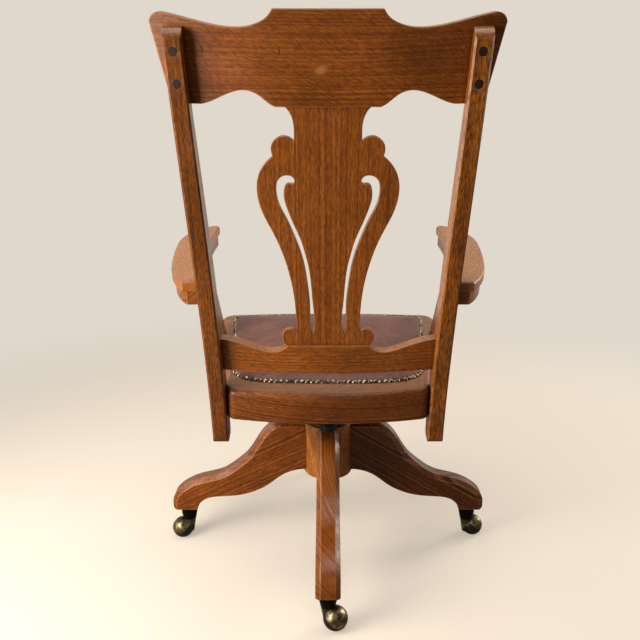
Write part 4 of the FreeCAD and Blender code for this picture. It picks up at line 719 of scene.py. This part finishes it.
def nailing(head):
    """Geometry nodes that set a head at even steps along a line, and the inputs' identifiers."""
    tree = bpy.data.node_groups.new("nails", "GeometryNodeTree")
    tree.interface.new_socket("Geometry", in_out="OUTPUT", socket_type="NodeSocketGeometry")
    sockets = {}
    for name, kind in (("Geometry", "Geometry"), ("Pitch", "Float"), ("Outward lean", "Float"),
                       ("Askew", "Float"), ("Seed", "Int")):
        made = tree.interface.new_socket(name, in_out="INPUT", socket_type="NodeSocket" + kind)
        sockets[name] = made.identifier
    start = add(tree, "NodeGroupInput").outputs
    even = add(tree, "GeometryNodeResampleCurve", mode="LENGTH", Curve=start[0], Length=start["Pitch"])
    tangent = add(tree, "GeometryNodeInputTangent")
    up = SEAT.to_3x3() @ Vector((0.0, 0.0, 1.0))
    outward = add(tree, VECTORS, up, tangent, operation="CROSS_PRODUCT")
    lean = add(tree, VECTORS, outward, start["Outward lean"], operation="SCALE")
    facing = add(tree, VECTORS, lean, up, operation="ADD")
    turned = add(tree, "FunctionNodeAlignRotationToVector", axis="Z", Vector=facing)
    least, most = (add(tree, VECTORS, (way, way, way * 30.0), start["Askew"], operation="SCALE")
                   for way in (-1.0, 1.0))
    askew = add(tree, "FunctionNodeRandomValue", least, most, data_type="FLOAT_VECTOR", Seed=start["Seed"])
    tilted = add(tree, "FunctionNodeRotateRotation", turned, askew, rotation_space="LOCAL")
    shape = add(tree, "GeometryNodeObjectInfo", head, transform_space="ORIGINAL").outputs["Geometry"]
    grown = add(tree, "FunctionNodeRandomValue", 0.93, 1.03, data_type="FLOAT", Seed=start["Seed"])
    heads = add(tree, "GeometryNodeInstanceOnPoints", even, Instance=shape, Rotation=tilted, Scale=grown)
    real = add(tree, "GeometryNodeRealizeInstances", heads)
    painted = add(tree, "GeometryNodeSetMaterial", real, Material=nail_brass)
    feed(tree, painted, add(tree, "NodeGroupOutput").inputs[0])
    return tree, sockets


def row_of_nails():
    """Mesh of all the heads along the nail line."""
    path = [SEAT @ Vector((p.x, p.y, NAIL_LEVEL)) for p in closed_curve(NAIL_LINE, LINE_SPACING)]
    line = bpy.data.curves.new("nail line", "CURVE")
    line.dimensions = "3D"
    spline = line.splines.new("POLY")
    spline.points.add(len(path) - 1)
    for point, spot in zip(spline.points, path):
        point.co = (*spot, 1.0)
    spline.use_cyclic_u = True
    holder = bpy.data.objects.new("nail line", line)
    head = bpy.data.objects.new("nail head", dome())
    bpy.context.scene.collection.objects.link(holder)
    bpy.context.scene.collection.objects.link(head)
    modifier = holder.modifiers.new("nails", "NODES")
    modifier.node_group, sockets = nailing(head)
    for name, value in (("Pitch", NAIL_PITCH), ("Outward lean", NAIL_LEAN), ("Askew", 0.1), ("Seed", 4)):
        modifier[sockets[name]] = value
    mesh = applied(holder)
    bpy.data.objects.remove(holder)
    bpy.data.objects.remove(head)
    return mesh


nails = new_piece("seat_nails", row_of_nails(), body="seat")


# Stage: a pale floor that fades into a background of its own tone within two metres of the
# chair, so that no edge shows from any side. Gloss sees that tone ahead of the sitter.

BACKGROUND = srgb("E0D8CC")
FADE_START, FADE_END = 0.9, 2.1
FLOOR_HALF = 60.0
AHEAD_OF_SITTER = -1.2

stage_paint, tree, shader, place = new_material("stage, matt pale")
shader.inputs["Roughness"].default_value = 0.9
shader.inputs["Specular IOR Level"].default_value = 0.0
shader.inputs["Emission Strength"].default_value = 1.0
rays = add(tree, "ShaderNodeLightPath").outputs
reach = add(tree, VECTORS, place, operation="LENGTH")
far = add(tree, "ShaderNodeMapRange", reach, FADE_START, FADE_END, interpolation_type="SMOOTHSTEP")
ahead = add(tree, MATH, add(tree, AXES, place).outputs[1], AHEAD_OF_SITTER, operation="LESS_THAN")
glossy = add(tree, MATH, ahead, rays["Is Glossy Ray"], operation="MULTIPLY")
seen = add(tree, MATH, rays["Is Camera Ray"], glossy, operation="MAXIMUM")
paint = add(tree, MIX, far, srgb("CFC8BC"), srgb("000000"), data_type="RGBA")
feed(tree, add(tree, MIX, seen, srgb("8C8276"), paint, data_type="RGBA"), shader.inputs["Base Color"])
glow = add(tree, MIX, far, srgb("A8A196"), BACKGROUND, data_type="RGBA")
feed(tree, add(tree, MIX, seen, srgb("000000"), glow, data_type="RGBA"), shader.inputs["Emission Color"])

floor_mesh = bpy.data.meshes.new("floor")
corners = [(x * FLOOR_HALF, y * FLOOR_HALF, 0.0) for x, y in ((-1, -1), (1, -1), (1, 1), (-1, 1))]
floor_mesh.from_pydata(corners, [], [(0, 1, 2, 3)])
floor = bpy.data.objects.new("floor", floor_mesh)
bpy.context.scene.collection.objects.link(floor)
floor.data.materials.append(stage_paint)


# Light: a broad window at the picture's left, almost level with the back, a weak fill, a
# soft ceiling and a window in front of the sitter. The world is a dim warm room, which gloss
# sees pale ahead of the sitter and dimmer behind the back.

ROOM = darker(srgb("F0E2D2"), 0.09)

world = bpy.data.worlds.new("studio")
world.use_nodes = True
tree = world.node_tree
rays = add(tree, "ShaderNodeLightPath").outputs
behind = add(tree, AXES, add(tree, "ShaderNodeTexCoord").outputs["Generated"]).outputs[1]
bright = add(tree, "ShaderNodeMapRange", behind, 0.3, -0.3, 0.2, 1.0)
seen = add(tree, MATH, rays["Is Glossy Ray"], bright, rays["Is Camera Ray"], operation="MULTIPLY_ADD")
room = add(tree, MIX, seen, ROOM, BACKGROUND, data_type="RGBA")
feed(tree, room, tree.nodes["Background"].inputs[0])
bpy.context.scene.world = world


def lamp(name, place, target, size, power, code):
    """Rectangular lamp that faces a target."""
    light = bpy.data.lights.new(name, "AREA")
    light.shape = "RECTANGLE"
    light.size, light.size_y = size
    light.energy = power
    light.color = srgb(code)[:3]
    holder = bpy.data.objects.new(name, light)
    holder.location = place
    holder.rotation_euler = (Vector(target) - Vector(place)).to_track_quat("-Z", "Y").to_euler()
    bpy.context.scene.collection.objects.link(holder)


lamp("window", (1.08, 0.78, 0.76), (0.0, 0.15, 0.6), (0.7, 1.2), 25.0, "FFF2E4")
lamp("fill", (-0.6, 2.4, 1.1), (0.0, 0.0, 0.5), (1.6, 1.2), 2.0, "FFEBD6")
lamp("ceiling", (0.1, 0.2, 2.4), (0.0, 0.1, 0.4), (1.6, 1.6), 25.0, "FFF6EE")
lamp("front window", (-2.6, -1.4, 1.4), (0.0, 0.0, 0.5), (1.2, 1.6), 45.0, "FFF2E4")


# Camera: a little above the arms, looking down at the chair's back. Its lens is given in
# pixels of the square picture, and the chair stands a few pixels off the middle.

FRAME_PIXELS = 640.0
LENS_PIXELS = 724.0
OFF_MIDDLE_PIXELS = -8.0
LOOKING_DOWN = 15.07

camera = bpy.data.cameras.new("camera")
camera.sensor_width = 36.0
camera.lens = LENS_PIXELS / FRAME_PIXELS * camera.sensor_width
camera.shift_x = OFF_MIDDLE_PIXELS / FRAME_PIXELS
eye = bpy.data.objects.new("camera", camera)
eye.location = (0.0, 1.466, 0.90)
eye.rotation_euler = (math.radians(90.0 - LOOKING_DOWN), 0.0, math.radians(180.0))
bpy.context.scene.collection.objects.link(eye)
bpy.context.scene.camera = eye
bpy.context.scene.view_settings.view_transform = "Standard"
